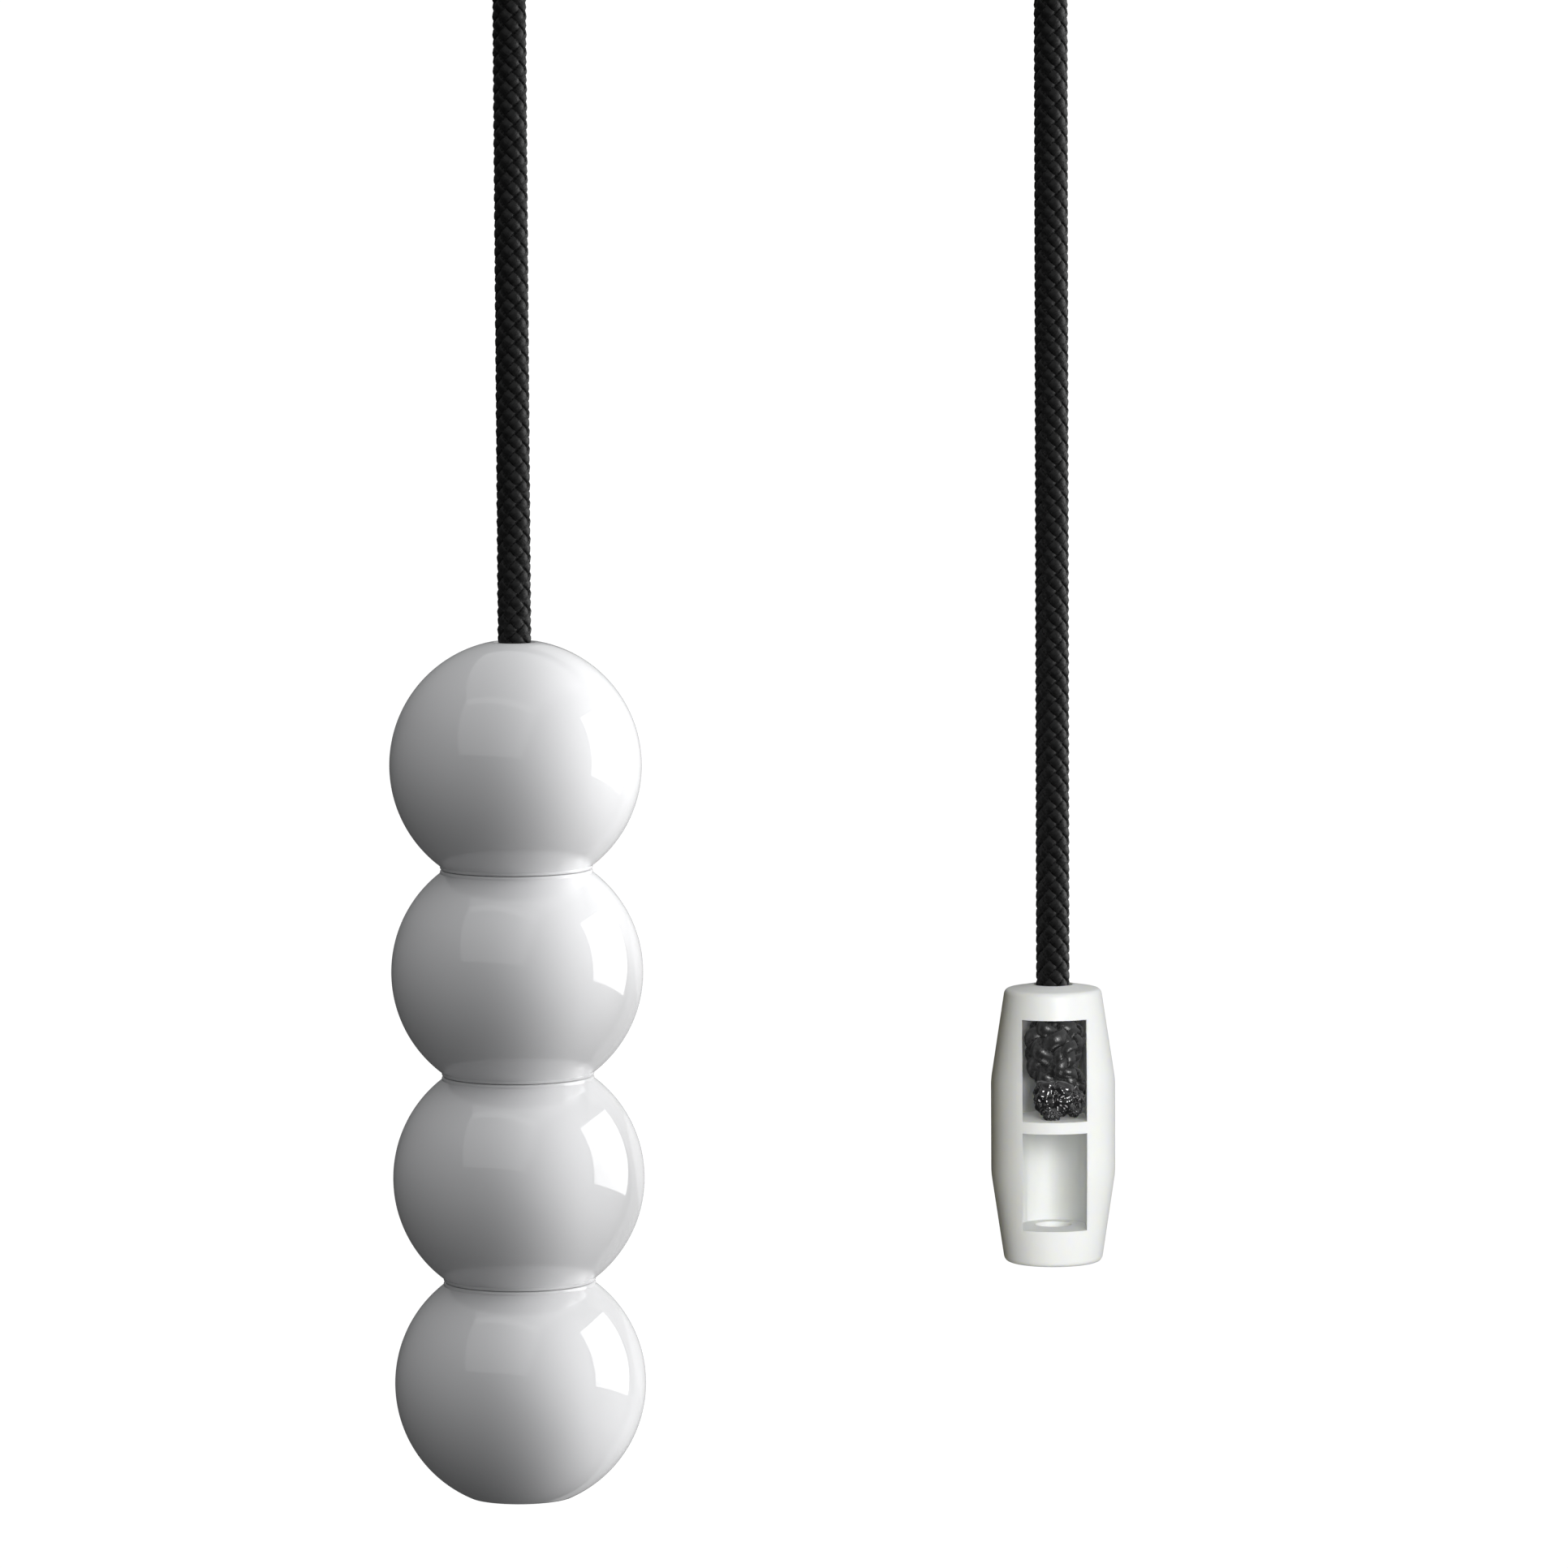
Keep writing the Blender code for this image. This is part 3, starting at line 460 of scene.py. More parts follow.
def connector_plastic():
    """Satin nylon: a slightly translucent white with fine flow lines along the moulding."""
    m = Nodes("connector_nylon")
    colour = (0.86, 0.87, 0.85)
    flow = m.noise(90.0, 4.0, 0.6, m.stretched((3.0, 3.0, 0.5)))
    fine = m.noise(3200.0, 3.0)
    tint = m.colours(flow, (0.3, shade(colour, 0.975)), (0.7, shade(colour, 1.01)))
    m.link(tint, m.shader.inputs["Base Color"])
    m.link(m.between(flow, 0.34, 0.46), m.shader.inputs["Roughness"])
    m.shader.inputs["Subsurface Weight"].default_value = 0.35
    m.shader.inputs["Subsurface Radius"].default_value = (1.0, 0.9, 0.45)
    m.shader.inputs["Subsurface Scale"].default_value = 0.0009
    m.shader.inputs["Specular IOR Level"].default_value = 0.35
    m.bump(fine, 0.12, 0.00002)
    return m.material


BLACK_YARN = (0.0015, 0.0015, 0.0015)


def braid_fibre(name, base, light, roughness, shine):
    """Filament yarn, with painted shade that darkens its colour towards each strand's sides. U runs round the
    strand and V along it, so the filaments are lines along V.
    """
    m = Nodes(name)
    uv = m.add("ShaderNodeUVMap")
    uv.uv_map = "strand"
    lines = m.add("ShaderNodeMapping")
    lines.inputs["Scale"].default_value = (26.0, 1.4, 1.0)
    m.link(uv.outputs["UV"], lines.inputs["Vector"])
    filaments = m.noise(1.0, 3.0, 0.6, lines.outputs["Vector"])
    broad = m.noise(700.0, 2.0)
    mixed = m.product(filaments, m.between(broad, 0.7, 1.3))
    crown = m.strand_crown(uv.outputs["UV"])
    # Painted shade: the colour darkens from each strand's crown to its sides, where the neighbouring strands
    # would shade it.
    shaded_filaments = m.product(mixed, m.between(crown, 0.35, 1.1))
    m.link(m.colours(shaded_filaments, (0.2, base), (0.7, light)), m.shader.inputs["Base Color"])
    dullness = m.product(m.between(filaments, 0.8, 1.3), m.between(crown, 0.95, roughness))
    m.link(dullness, m.shader.inputs["Roughness"])
    m.shader.inputs["Specular IOR Level"].default_value = shine
    m.shader.inputs["Sheen Weight"].default_value = 0.02
    m.shader.inputs["Sheen Roughness"].default_value = 0.4
    m.shader.inputs["Anisotropic"].default_value = 0.5
    m.bump(filaments, 0.7, 0.00006)
    return m.material


def melted_cord():
    """Melted and set polyester: black and glossy, with pits and small bubbles."""
    m = Nodes("melted_polyester")
    lumps = m.noise(1500.0, 4.0, 0.6)
    tint = m.colours(lumps, (0.35, (0.004, 0.004, 0.005)), (0.75, (0.016, 0.015, 0.015)))
    m.link(tint, m.shader.inputs["Base Color"])
    m.link(m.between(lumps, 0.05, 0.22), m.shader.inputs["Roughness"])
    m.shader.inputs["Coat Weight"].default_value = 0.7
    m.shader.inputs["Coat Roughness"].default_value = 0.04
    m.bump(m.noise(550.0, 1.5), 0.2, 0.0001)
    return m.material


def metal(name, colour, roughness, scale):
    """Worked metal: fine drawn or rolled lines, and slight tarnish."""
    m = Nodes(name)
    lines = m.noise(1.0, 4.0, 0.6, m.stretched(scale))
    tarnish = m.noise(220.0, 5.0, 0.6)
    m.link(m.colours(tarnish, (0.3, shade(colour, 0.82)), (0.65, colour)), m.shader.inputs["Base Color"])
    m.shader.inputs["Metallic"].default_value = 1.0
    m.link(m.between(lines, roughness - 0.07, roughness + 0.12), m.shader.inputs["Roughness"])
    m.bump(lines, 0.15, 0.00002)
    return m.material


def make_materials():
    """The finish of each material slot in the record."""
    ivory = (0.70, 0.65, 0.53)
    return {
        "housing_white": housing_plastic(),
        "mechanism_ivory": moulded_plastic("mechanism_nylon", ivory, 0.45, grain=0.3, mottle=0.04),
        "slider_grey": moulded_plastic("slider_acetal", (0.33, 0.34, 0.35), 0.4, mottle=0.06),
        "rotor_nylon": moulded_plastic("rotor_nylon", (0.78, 0.76, 0.68), 0.42, mottle=0.05),
        "ball_white": ball_lacquer(),
        "connector_white": connector_plastic(),
        "cord_black": braid_fibre("cord_braid", BLACK_YARN, (0.016, 0.016, 0.016), 0.42, 0.24),
        "brass": metal("brass_machined", (0.80, 0.60, 0.28), 0.26, (400.0, 3000.0, 400.0)),
        "contact_copper": metal("contact_bronze", (0.82, 0.50, 0.33), 0.30, (3000.0, 300.0, 300.0)),
        "zinc_plated_steel": metal("zinc_plating", (0.66, 0.67, 0.69), 0.28, (900.0, 900.0, 2500.0)),
        "spring_steel": metal("spring_wire", (0.52, 0.53, 0.55), 0.24, (2500.0, 2500.0, 500.0)),
    }


# The braid


def path_frames(points):
    """Directions along a path, and two sideways ones that turn with it as little as they can."""
    points = np.asarray(points, float)
    along = np.gradient(points, axis=0)
    along /= np.linalg.norm(along, axis=1)[:, None]
    side = np.zeros_like(points)
    start = np.array([1.0, 0.0, 0.0])
    for i, direction in enumerate(along):
        start = start - direction * start.dot(direction)
        start /= np.linalg.norm(start)
        side[i] = start
    return along, side, np.cross(along, side)


def smooth_path(points, step):
    """Evenly spaced points on a smooth curve through a few chosen ones."""
    points = np.asarray(points, float)
    padded = np.vstack([2 * points[0] - points[1], points, 2 * points[-1] - points[-2]])
    fine = []
    for i in range(len(points) - 1):
        a, b, c, d = padded[i : i + 4]
        square = 2 * a - 5 * b + 4 * c - d
        cube = 3 * b - a - 3 * c + d
        for t in np.linspace(0.0, 1.0, 40, endpoint=False):
            fine.append(0.5 * (2 * b + (c - a) * t + square * t**2 + cube * t**3))
    fine.append(points[-1])
    fine = np.array(fine)
    length = np.concatenate([[0.0], np.cumsum(np.linalg.norm(np.diff(fine, axis=0), axis=1))])
    at = np.linspace(0.0, length[-1], max(2, int(length[-1] / step)))
    return np.column_stack([np.interp(at, length, fine[:, k]) for k in range(3)]), at


# The pitch is one turn of a strand round the cord. A strand's half width, half thickness and rise over its
# neighbours, and the core's radius, are in millimetres. All are for a cord of CORD_R.
BRAID_PITCH = 12.8 * MM
BRAID_PAIRS = 6
BRAID_PHASE = math.radians(-13)
STRAND_WIDE = 0.69
STRAND_THICK = 0.33
BRAID_RISE = 0.31
STRAND_SIDES = 10
CORE_R = 1.05


def braid(name, points, radius=CORD_R, samples_per_turn=48, pairs=BRAID_PAIRS, swell=None, fatten=1.0):
    """A diamond braid along a path: pairs of left-hand and right-hand strands round a core.

    Each strand passes over one strand and under the next. A loose braid has fewer pairs and fatter strands,
    and may swell along the way to a multiple of its radius.
    """
    scale = radius / CORD_R
    pitch = BRAID_PITCH * scale * pairs / BRAID_PAIRS * fatten
    path, at = smooth_path(points, pitch / samples_per_turn)
    along, side, other = path_frames(path)
    middle = CORD_R * scale - (STRAND_THICK * 0.8 + BRAID_RISE) * MM * scale
    vertices, faces, uvs = [], [], []

    def ribbon(centres, outward, forward, wide, thick):
        across = np.cross(forward, outward)
        base = len(vertices)
        turn = [2 * math.pi * k / STRAND_SIDES for k in range(STRAND_SIDES)]
        for i in range(len(centres)):
            for angle in turn:
                sideways = across[i] * (wide * math.cos(angle))
                vertices.append(centres[i] + sideways + outward[i] * (thick * math.sin(angle)))
        for i in range(len(centres) - 1):
            for k in range(STRAND_SIDES):
                n = (k + 1) % STRAND_SIDES
                a = base + i * STRAND_SIDES
                b = a + STRAND_SIDES
                faces.append((a + k, a + n, b + n, b + k))
                u0, u1 = k / STRAND_SIDES, (k + 1) / STRAND_SIDES
                v0, v1 = at[i] / radius, at[i + 1] / radius
                uvs.extend([(u0, v0), (u1, v0), (u1, v1), (u0, v1)])
        for end in (0, len(centres) - 1):
            first = base + end * STRAND_SIDES
            ring = tuple(first + k for k in range(STRAND_SIDES))
            faces.append(ring if end else ring[::-1])
            uvs.extend([(0.5, at[end] / radius)] * STRAND_SIDES)

    grow = np.ones(len(path)) if swell is None else np.array([swell(s / at[-1]) for s in at])
    wide = STRAND_WIDE * MM * scale * fatten
    thick = STRAND_THICK * MM * scale * fatten
    for hand in (1, -1):
        for number in range(pairs):
            angle = 2 * math.pi * number / pairs + hand * 2 * math.pi * at / pitch
            rise = hand * BRAID_RISE * MM * scale * fatten * np.cos(pairs * angle)
            round_it = angle + BRAID_PHASE
            outward = side * np.cos(round_it)[:, None] + other * np.sin(round_it)[:, None]
            centres = path + outward * ((middle + rise) * grow)[:, None]
            forward = np.gradient(centres, axis=0)
            forward /= np.linalg.norm(forward, axis=1)[:, None]
            outward = outward - forward * (outward * forward).sum(1)[:, None]
            outward /= np.linalg.norm(outward, axis=1)[:, None]
            ribbon(centres, outward, forward, wide, thick)
    core = CORE_R * MM * scale
    ribbon(path, side, along, core, core)
    obj = mesh_object(name, vertices, faces, 60)
    layer = obj.data.uv_layers.new(name="strand")
    layer.data.foreach_set("uv", np.array(uvs, np.float32).ravel())
    return obj


def hanging_cord(name, x, top, bottom, body, finish):
    """One of the two cords, straight down under its own weight."""
    points = [(x, 0.0, top + (bottom - top) * i / 20) for i in range(21)]
    obj = braid(f"{name}_braid", points)
    dress(obj, finish, body, "cord_black", name)
    return obj, points


# Pieces in the photograph


def make_ball(number, finish):
    """A glossy ball: a true sphere, cut square with a short collar where it meets the next one."""
    low, high = BALLS[number - 1]
    first = number == 1
    last = number == len(BALLS)
    neck_r = 9.1 * MM
    bore_r = 2.3 * MM
    near = 0.12 * MM
    cad_half = (BALLS[1][1].z - BALLS[1][0].z) / 2
    centre = high.z - cad_half if last else low.z + cad_half
    half = cad_half + near
    neck = math.asin(math.sqrt(1 - (neck_r / BALL_R) ** 2))
    top_flat = 14.7 * MM
    bottom_flat = 13.6 * MM
    edge = 0.25 * MM
    edge_r = neck_r - edge
    if first:
        upper = math.asin(top_flat / BALL_R)
        chamfer = 0.2 * MM
        start = [(bore_r, centre + top_flat - chamfer), (bore_r + chamfer, centre + top_flat)]
    else:
        upper = neck
        start = [(bore_r, centre + half), (edge_r, centre + half)]
        for i in range(1, 5):
            angle = math.radians(90 - 90 * i / 4)
            start.append((edge_r + edge * math.cos(angle), centre + half - edge + edge * math.sin(angle)))
    lower = -(math.asin(bottom_flat / BALL_R) if last else neck)
    steps = 72
    body = []
    for i in range(steps + 1):
        angle = upper + (lower - upper) * i / steps
        body.append((BALL_R * math.cos(angle), centre + BALL_R * math.sin(angle)))
    if last:
        pocket_r = 5.2 * MM
        pocket_depth = 10.6 * MM
        lip = 0.5 * MM
        bottom = centre - bottom_flat
        end = [
            (pocket_r + lip, bottom),
            (pocket_r + 0.3 * lip, bottom + 0.2 * lip),
            (pocket_r, bottom + lip),
            (pocket_r, bottom + pocket_depth),
            (bore_r, bottom + pocket_depth),
        ]
    else:
        end = []
        for i in range(4):
            angle = math.radians(-90 * i / 4)
            end.append((edge_r + edge * math.cos(angle), centre - half + edge + edge * math.sin(angle)))
        end += [(edge_r, centre - half), (bore_r, centre - half)]
    obj = turned(f"ball_{number}_glossy", start + body + end, LEFT_X, segments=160)
    return dress(obj, finish, f"ball_{number}", "ball_white", f"ball_{number}")


def end_knot(finish, melted):
    """The pulled-tight knot under the last ball, out of sight in its pocket, with its end melted."""
    low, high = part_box("handle_end_knot")
    x = (low.x + high.x) / 2
    turns = 1.6
    turn_r = 2.55 * MM
    start_z = high.z - 1.9 * MM
    drop = 3.0 * MM
    points = []
    for i in range(25):
        t = i / 24
        angle = 2 * math.pi * turns * t
        points.append((x + turn_r * math.cos(angle), turn_r * math.sin(angle), start_z - drop * t))
    obj = braid("handle_end_knot_braided", points, radius=1.75 * MM, samples_per_turn=32)
    dress(obj, finish, "pull_left", "cord_black", "handle_end_knot")
    blob = melted_lump("handle_end_melted", (x, 0.0, low.z + 1.7 * MM), (1.9, 1.9, 1.6), 4.0)
    dress(blob, melted, "pull_left", "cord_black")


def melted_lump(name, centre, radii, seed):
    """A lump of melted polyester: folds and blisters on an uneven ball. The radii are in millimetres."""
    bm = bmesh.new()
    bmesh.ops.create_icosphere(bm, subdivisions=6, radius=1.0)
    for vertex in bm.verts:
        direction = vertex.co.normalized()
        at = direction * 2.1 + Vector((seed, seed * 0.37, -seed))
        folds = 0.26 * noise.noise(at * 0.8) + 0.12 * noise.noise(at * 1.6)
        blisters = 0.16 * max(0.0, noise.noise(at * 2.2 + Vector((7.0, 1.0, 3.0))))
        size = 0.92 + folds + blisters
        vertex.co = Vector(direction[k] * size * radii[k] * MM for k in range(3)) + Vector(centre)
    mesh = bpy.data.meshes.new(name)
    bm.to_mesh(mesh)
    bm.free()
    mesh.shade_smooth()
    obj = bpy.data.objects.new(name, mesh)
    bpy.context.scene.collection.objects.link(obj)
    return obj


def connector_knot(finish, melted):
    """The knot in the connector's upper window: a swollen plait, a loop pulled over it, and a melted end."""
    low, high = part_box("connector_knot")
    top = high.z

    def placed(route):
        return [(RIGHT_X + a * MM, b * MM, top + c * MM) for a, b, c in route]

    def swell(t):
        return 1.0 + 0.72 * math.sin(math.pi * min(1.0, t * 1.15)) ** 0.8

    plait = placed(
        [
            (0.0, 0.0, 0.4),
            (0.0, -0.3, -1.5),
            (-0.2, -0.9, -4.0),
            (0.1, -1.1, -6.5),
            (0.5, -1.2, -8.6),
        ]
    )
    loop = placed(
        [
            (0.4, 1.6, -1.0),
            (1.9, 0.6, -1.4),
            (2.2, -1.4, -2.2),
            (1.7, -2.9, -3.6),
            (0.9, -3.3, -5.2),
            (2.1, -2.6, -6.9),
            (2.4, -1.1, -8.4),
            (1.6, 0.8, -8.8),
        ]
    )
    pieces = [
        braid("connector_knot_plait", plait, 1.9 * MM, 60, pairs=4, swell=swell, fatten=1.45),
        braid("connector_knot_loop", loop, 1.45 * MM, 40, pairs=4, fatten=1.3),
    ]
    dress(pieces[0], finish, "connector", "cord_black", "connector_knot")
    dress(pieces[1], finish, "connector", "cord_black")
    blob_z = low.z + 2.2 * MM
    lumps = [
        ("connector_melted_end", (RIGHT_X + 0.2 * MM, -3.6 * MM, blob_z), (2.7, 1.9, 2.5), 2.0),
        ("connector_melted_drop", (RIGHT_X - 0.3 * MM, -4.9 * MM, blob_z - 1.9 * MM), (1.1, 0.9, 1.0), 9.0),
        ("connector_melted_bead", (RIGHT_X + 2.4 * MM, -3.6 * MM, blob_z - 0.4 * MM), (1.2, 1.2, 1.9), 5.0),
    ]
    for name, centre, radii, seed in lumps:
        pieces.append(dress(melted_lump(name, centre, radii, seed), melted, "connector", "cord_black"))
    return pieces


def make_connector(finish):
    """The barrel connector: straight middle, cones to each end, two windows, and a bore at each end."""
    low, high = CONNECTOR
    top, bottom = high.z, low.z
    middle_r = (high.x - low.x) / 2
    top_r = 5.75 * MM
    bottom_r = 5.8 * MM
    upper_cone = 11.4 * MM
    lower_cone = 10.7 * MM
    shoulder_r = 9.0 * MM
    outline = [
        (0.0, top, 0),
        (2.6 * MM, top, 1.5 * MM),
        (top_r, top - 0.55 * MM, 0.8 * MM),
        (middle_r, top - upper_cone, shoulder_r),
        (middle_r, bottom + lower_cone, shoulder_r),
        (bottom_r, bottom, 0.9 * MM),
        (0.0, bottom, 0),
    ]
    body = turned("connector_shell", filleted(outline, 8, cyclic=False), RIGHT_X, closed=False, segments=160)
    pockets = ((top - 3.7 * MM, top - 15.7 * MM), (top - 17.1 * MM, top - 28.9 * MM))
    for upper, lower in pockets:
        boolean(body, pocket_cutter(upper, lower))
    lower_bore_r = 2.2 * MM
    holes = ((CORD_BORE_R, top + MM, pockets[0][0] - MM), (lower_bore_r, pockets[1][1] + MM, bottom - MM))
    for radius, upper, lower in holes:
        boolean(body, turned_at("hole", rod_profile(radius, upper, lower), RIGHT_X, 0))
    bevel = body.modifiers.new("edges", "BEVEL")
    bevel.width = 0.14 * MM
    bevel.segments = 2
    bevel.limit_method = "ANGLE"
    bevel.angle_limit = math.radians(50)
    apply_modifiers(body)
    smooth(body, 40)
    dress(body, finish, "connector", "connector_white", "connector_body")
    return body


def pocket_cutter(upper, lower):
    """As wide as the window, round at the back, and open at the front."""
    radius = 3.825 * MM
    mouth = -10.0 * MM
    arc_steps = 48
    outline = [(RIGHT_X - radius, mouth), (RIGHT_X + radius, mouth)]
    for i in range(arc_steps + 1):
        angle = math.pi * i / arc_steps
        outline.append((RIGHT_X + radius * math.cos(angle), radius * math.sin(angle)))
    count = len(outline)
    vertices = [(px, py, z) for z in (upper, lower) for px, py in outline]
    faces = rings_to_faces(2, count, False)
    faces += [tuple(range(count)), tuple(range(2 * count - 1, count - 1, -1))]
    return mesh_object("pocket", vertices, faces)


# The switch's housing


def stadium_loop(radius, z, arc_steps=48):
    """Two half circles about the cords' axes, with the straight sides between them."""
    loop = []
    for centre, start in ((CORD_X, -90), (-CORD_X, 90)):
        for i in range(arc_steps + 1):
            angle = math.radians(start + 180 * i / arc_steps)
            loop.append((centre + radius * math.cos(angle), radius * math.sin(angle), z))
    return loop


def stadium_solid(name, profile):
    """A solid whose outline at each height is a stadium of the profile's radius."""
    vertices = [v for radius, z in profile for v in stadium_loop(radius, z)]
    count = len(stadium_loop(1.0, 0.0))
    faces = rings_to_faces(len(profile), count, False)
    faces.append(tuple(range(count)))
    last = (len(profile) - 1) * count
    faces.append(tuple(range(last + count - 1, last - 1, -1)))
    return mesh_object(name, vertices, faces)


def make_cover(finish):
    """The moulded shell: a shadow line under its rim, holes for the bushes and recesses for the screws."""
    low, high = COVER
    rim, bottom = high.z, low.z
    outer = high.y
    wall = 2.2 * MM
    fillet = 5.0 * MM
    flat = 12.0 * MM
    groove_top = rim - 2.2 * MM
    groove_bottom = groove_top - 0.7 * MM
    groove_r = outer - 0.4 * MM
    crisp = 0.1 * MM
    outline = [
        (outer, rim, 0),
        (outer, groove_top, crisp),
        (groove_r, groove_top, crisp),
        (groove_r, groove_bottom, crisp),
        (outer, groove_bottom, crisp),
        (outer, bottom, fillet),
        (outer - flat, bottom, 0),
    ]
    shell = stadium_solid("cover_shell", filleted(outline, 10, cyclic=False))
    inner = outer - wall
    floor = bottom + wall
    inside = [(inner, rim + MM, 0), (inner, floor, fillet - wall), (inner - flat, floor, 0)]
    boolean(shell, stadium_solid("inside", filleted(inside, 8, cyclic=False)))
    boss_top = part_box("base_plate")[0].z - 0.3 * MM
    boss_r = 4.6 * MM
    screw_y = 20.5 * MM
    screw_hole_r = 1.6 * MM
    head_hole_r = 3.3 * MM
    head_seat = bottom + 3.0 * MM
    bush_hole_r = 5.2 * MM
    chamfer = 0.6 * MM
    cuts = []
    for side in (-1, 1):
        boss = turned_at("boss", rod_profile(boss_r, boss_top, floor - MM), 0, side * screw_y)
        boolean(shell, boss, "UNION")
        recess = [
            (0, boss_top + MM),
            (screw_hole_r, boss_top + MM),
            (screw_hole_r, head_seat),
            (head_hole_r, head_seat),
            (head_hole_r, bottom + 0.4 * MM),
            (head_hole_r + chamfer, bottom + 0.4 * MM - chamfer),
            (head_hole_r + chamfer, bottom - MM),
            (0, bottom - MM),
        ]
        cuts.append(turned_at("recess", recess, 0, side * screw_y))
        bush_hole = rod_profile(bush_hole_r, floor + MM, bottom - MM)
        cuts.append(turned_at("bush_hole", bush_hole, side * CORD_X, 0))
    for cut in cuts:
        boolean(shell, cut)
    smooth(shell, 35)
    return dress(shell, finish, "root", "housing_white", "cover")


def rod_profile(radius, top, bottom):
    return [(0, top), (radius, top), (radius, bottom), (0, bottom)]


def turned_at(name, profile, x, y, segments=64):
    """A solid turned about an upright axis at x, y."""
    obj = turned(name, profile, x, closed=False, segments=segments)
    obj.data.transform(Matrix.Translation((0.0, y, 0.0)))
    return obj


def make_bush(label, finish):
    """The flanged bell-mouth bush that the cord leaves the cover through."""
    low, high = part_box(f"cord_guide_{label}")
    x = (low.x + high.x) / 2
    flange_r = (high.x - low.x) / 2
    neck_r = 4.9 * MM
    flange_top = COVER[0].z - 0.3 * MM
    outline = [
        (CORD_BORE_R, high.z, 0.3 * MM),
        (neck_r, high.z, 0.3 * MM),
        (neck_r, flange_top, 0),
        (flange_r, flange_top, 0.2 * MM),
        (flange_r, low.z, 1.6 * MM),
        (CORD_BORE_R + 2.9 * MM, low.z, 0.5 * MM),
        (CORD_BORE_R + 0.9 * MM, low.z + 0.7 * MM, 1.2 * MM),
        (CORD_BORE_R, low.z + 2.8 * MM, 1.5 * MM),
    ]
    obj = turned(f"cord_guide_{label}_fine", filleted(outline, 6), x, segments=96)
    return dress(obj, finish, "root", "housing_white", f"cord_guide_{label}")


def make_cover_screw(label, finish):
    """A pan-head screw with a cross recess."""
    low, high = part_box(f"cover_screw_{label}")
    y = (low.y + high.y) / 2
    head_r = (high.y - low.y) / 2
    head_top = low.z + 2.3 * MM
    shank = 1.3 * MM
    pitch = 0.8 * MM
    point_bottom = high.z - 1.4 * MM
    outline = [
        (0, high.z, 0),
        (0.4 * MM, high.z, 0),
        (shank * 0.8, point_bottom, 0),
        *thread(shank, point_bottom, head_top + pitch, pitch),
        (shank * 0.85, head_top, 0),
        (head_r, head_top, 0.1 * MM),
        (head_r, low.z, 1.1 * MM),
        (0, low.z, 0),
    ]
    obj = turned_at(f"cover_screw_{label}_fine", filleted(outline, 6, cyclic=False), 0, y, 48)
    for turn in (0, 90):
        slot = box_object("cross", (3.4 * MM, 0.75 * MM, 1.5 * MM), (0, y, low.z), math.radians(turn))
        boolean(obj, slot)
    smooth(obj, 35)
    dress(obj, finish, "root", "zinc_plated_steel", f"cover_screw_{label}")


def thread(radius, top, bottom, pitch):
    """Saw-toothed rings that read as a thread in a turned outline."""
    count = int((top - bottom) / pitch)
    step = (top - bottom) / count
    points = []
    for i in range(count):
        z = top - i * step
        points.append((radius * 0.8, z, 0))
        points.append((radius, z - step * 0.5, 0))
    return points


def box_object(name, size, centre, turn):
    bm = bmesh.new()
    bmesh.ops.create_cube(bm, size=1.0)
    bmesh.ops.scale(bm, vec=size, verts=bm.verts)
    bmesh.ops.rotate(bm, matrix=Matrix.Rotation(turn, 3, "Z"), verts=bm.verts)
    bmesh.ops.translate(bm, vec=centre, verts=bm.verts)
    mesh = bpy.data.meshes.new(name)
    bm.to_mesh(mesh)
    bm.free()
    obj = bpy.data.objects.new(name, mesh)
    bpy.context.scene.collection.objects.link(obj)
    return obj


def make_return_spring(label, x, finish):
    """A compression spring with closed end coils. In the switch it shortens as the cord is pulled; this mesh
    keeps one length.
    """
    low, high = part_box(f"return_spring_{label}")
    wire = 0.45 * MM
    mean = (high.x - low.x) / 2 - wire
    turns = 6.5
    closing = 0.045
    per_turn = 40
    count = int(turns * per_turn)
    sides = 12
    length = high.z - low.z - 2 * wire
    vertices = []
    for i in range(count + 1):
        t = i / count
        eased = t - closing * math.sin(2 * math.pi * t)
        angle = 2 * math.pi * turns * t
        radial = Vector((math.cos(angle), math.sin(angle), 0.0))
        centre = Vector((x, 0.0, high.z - wire - length * eased)) + radial * mean
        for k in range(sides):
            a = 2 * math.pi * k / sides
            vertices.append(centre + radial * (wire * math.cos(a)) + Vector((0.0, 0.0, wire * math.sin(a))))
    faces = rings_to_faces(count + 1, sides, False)
    faces.append(tuple(range(sides)))
    faces.append(tuple(range(count * sides + sides - 1, count * sides - 1, -1)))
    obj = mesh_object(f"return_spring_{label}_fine", vertices, faces)
    dress(obj, finish, "root", "spring_steel", f"return_spring_{label}")
    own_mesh(obj)


def finish_cad_nodes(materials):
    """Every CAD node that stays gets its slot's material."""
    slots = {part["node"]: part["material_slot"] for part in frame["record"]["subparts"]}
    for name, node in frame["nodes"].items():
        node.data.materials.clear()
        node.data.materials.append(materials[slots[name]])
        smooth(node, 30)


# Build


make_camera()
make_stage()
make_world()
materials = make_materials()
finish_cad_nodes(materials)

cord_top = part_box("handle_cord")[1].z
left_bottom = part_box("handle_cord")[0].z
right_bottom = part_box("connector_cord")[0].z
melted = melted_cord()
black = materials["cord_black"]
knotted = braid_fibre("knot_braid", BLACK_YARN, (0.02, 0.02, 0.02), 0.3, 0.7)
left_cord, left_path = hanging_cord("handle_cord", LEFT_X, cord_top, left_bottom, "pull_left", black)
right_cord, right_path = hanging_cord("connector_cord", RIGHT_X, cord_top, right_bottom, "pull_right", black)

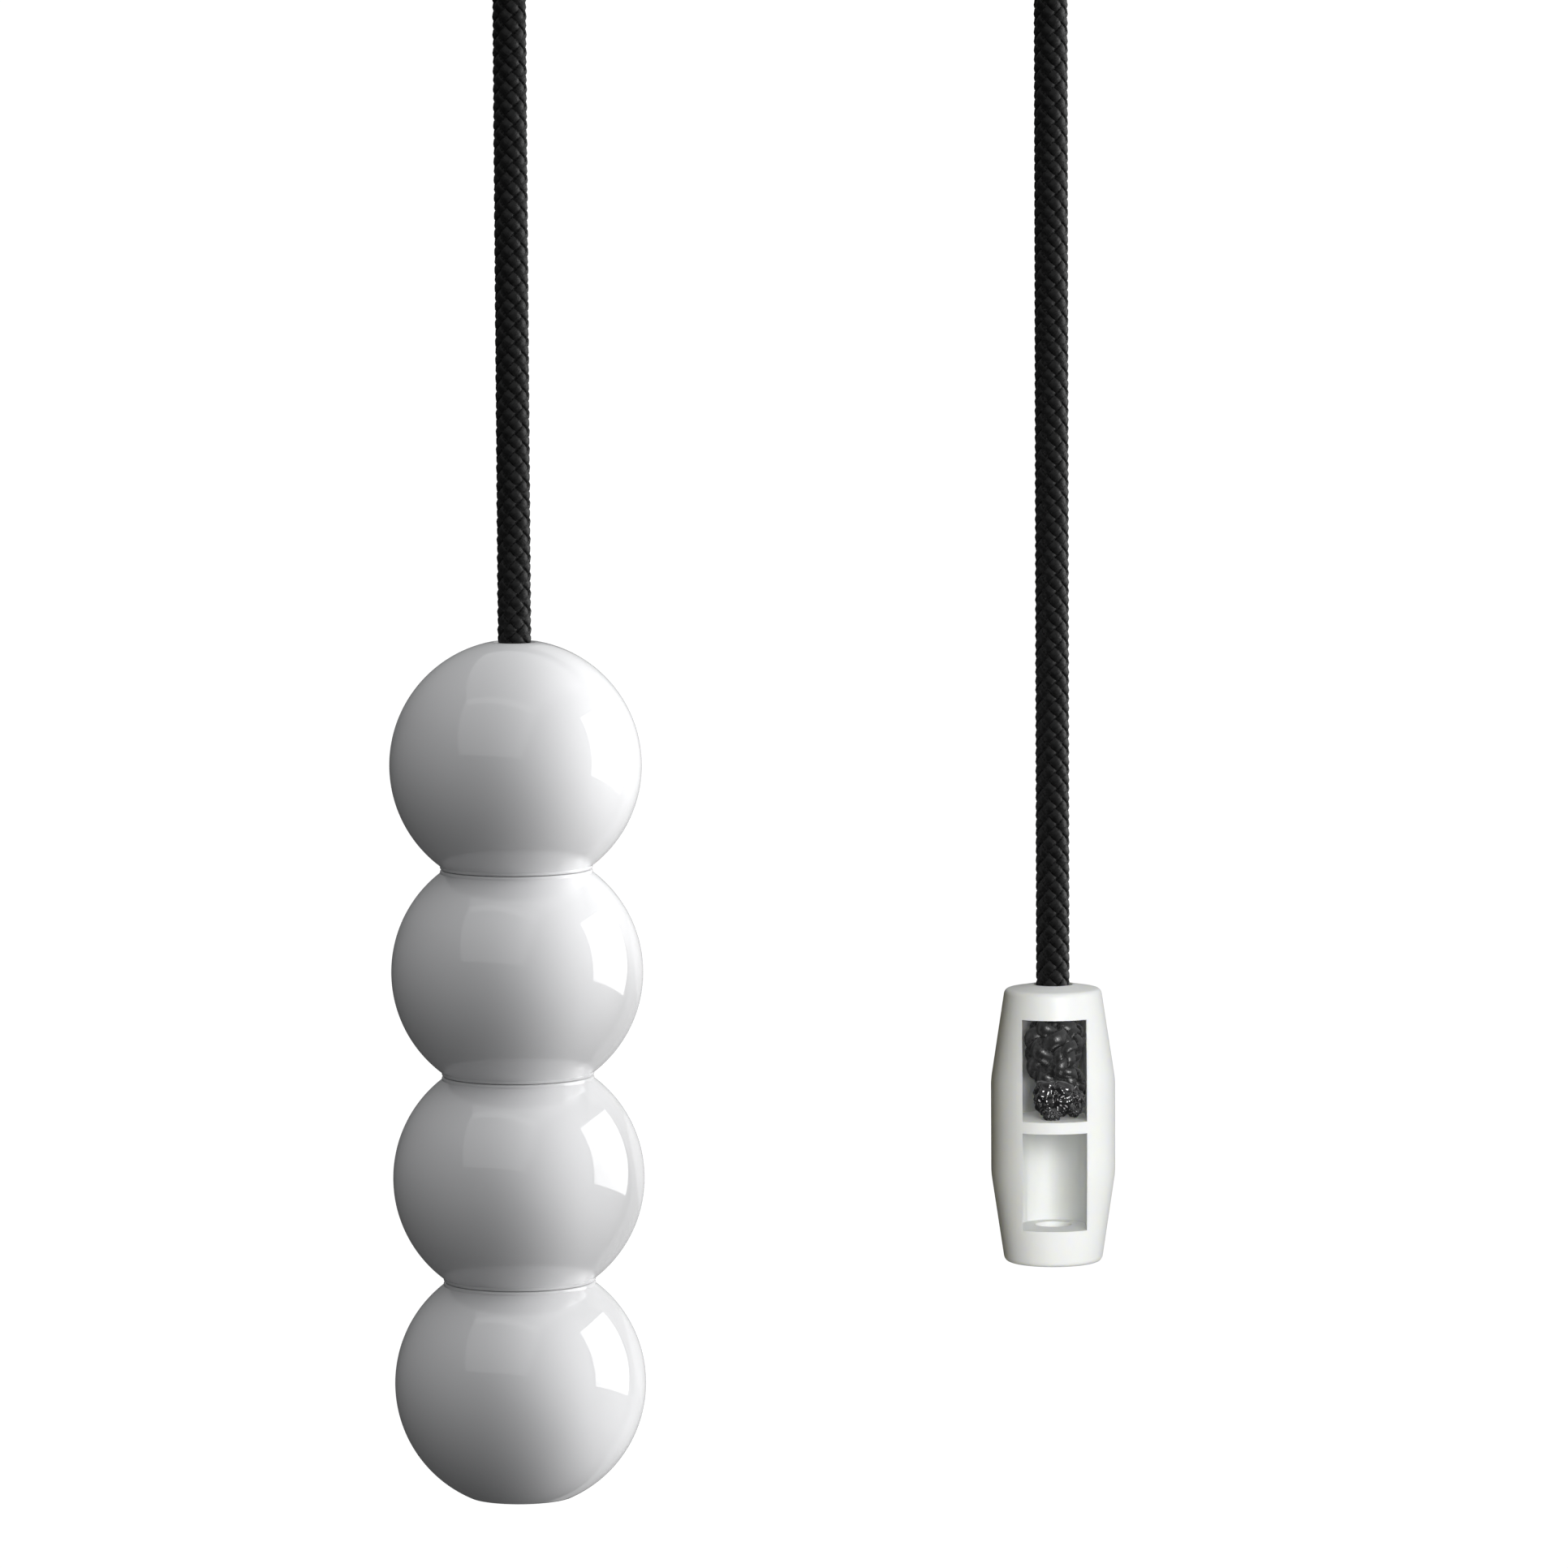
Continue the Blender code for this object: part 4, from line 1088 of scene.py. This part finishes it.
balls = [make_ball(number, materials["ball_white"]) for number in range(1, len(BALLS) + 1)]
end_knot(knotted, melted)
connector_pieces = connector_knot(knotted, melted)
connector_pieces.append(make_connector(materials["connector_white"]))
housing = [frame["nodes"]["base_plate"], make_cover(materials["housing_white"])]
for label in ("left", "right"):
    housing.append(make_bush(label, materials["housing_white"]))
    make_return_spring(label, LEFT_X if label == "left" else RIGHT_X, materials["spring_steel"])
for label in ("front", "rear"):
    make_cover_screw(label, materials["zinc_plated_steel"])

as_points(left_path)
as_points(right_path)

# Lights: a large softbox on the right and a dim one overhead on the left. The connector and the housing have
# their own. Of the pieces, only the balls are seen in reflections.
pieces = [piece for piece in bpy.context.scene.objects if piece.type == "MESH"]
in_the_way = [right_cord, *connector_pieces]
for piece in pieces:
    piece.visible_glossy = piece in balls
balls_only = receivers("rim_light", balls)
connector_only = receivers("connector_light", connector_pieces)
housing_only = receivers("housing_light", housing)
all_but_connector = receivers("top_light", [piece for piece in pieces if piece not in connector_pieces])
key_lit = receivers("key_light", [piece for piece in pieces if piece not in connector_pieces + housing])
key_shadows = receivers("key_shadows", [piece for piece in pieces if piece not in in_the_way])
softbox("key", BALL_CENTRE, 101, 13, 0.62, (0.54, 0.52), 2.6, key_lit, key_shadows, roll=-14)
key_fill = softbox("key_fill", BALL_CENTRE, 91, 0, 0.63, (0.54, 0.6), 4.4, key_lit, key_shadows)
key_fill.visible_glossy = False
rim = softbox("rim", BALL_CENTRE, 152, 0, 0.9, (0.8, 1.6), 1.1, balls_only, key_shadows)
rim.visible_diffuse = False
rim.visible_camera = False
softbox("top_left", BALL_CENTRE, -22, 42, 0.9, (1.1, 0.9), 1.3, all_but_connector)
overhead = softbox("overhead", BALL_CENTRE, -22, 96, 0.9, (1.1, 1.2), 1.6, balls_only)
overhead.visible_camera = False
softbox("connector_high", CONNECTOR_CENTRE, 15, 14, 0.7, (0.25, 0.25), 3.35, connector_only)
softbox("connector_low", CONNECTOR_CENTRE, 8, -58, 0.7, (0.3, 0.3), 1.5, connector_only)
softbox("connector_edge", CONNECTOR_CENTRE, 98, 6, 0.7, (0.5, 0.5), 0.35, connector_only)
softbox("housing_side", (0.0, 0.0, COVER[0].z), 55, 4, 0.8, (0.5, 0.5), 3.3, housing_only)
make_flag()

bpy.context.scene.view_settings.view_transform = "Standard"
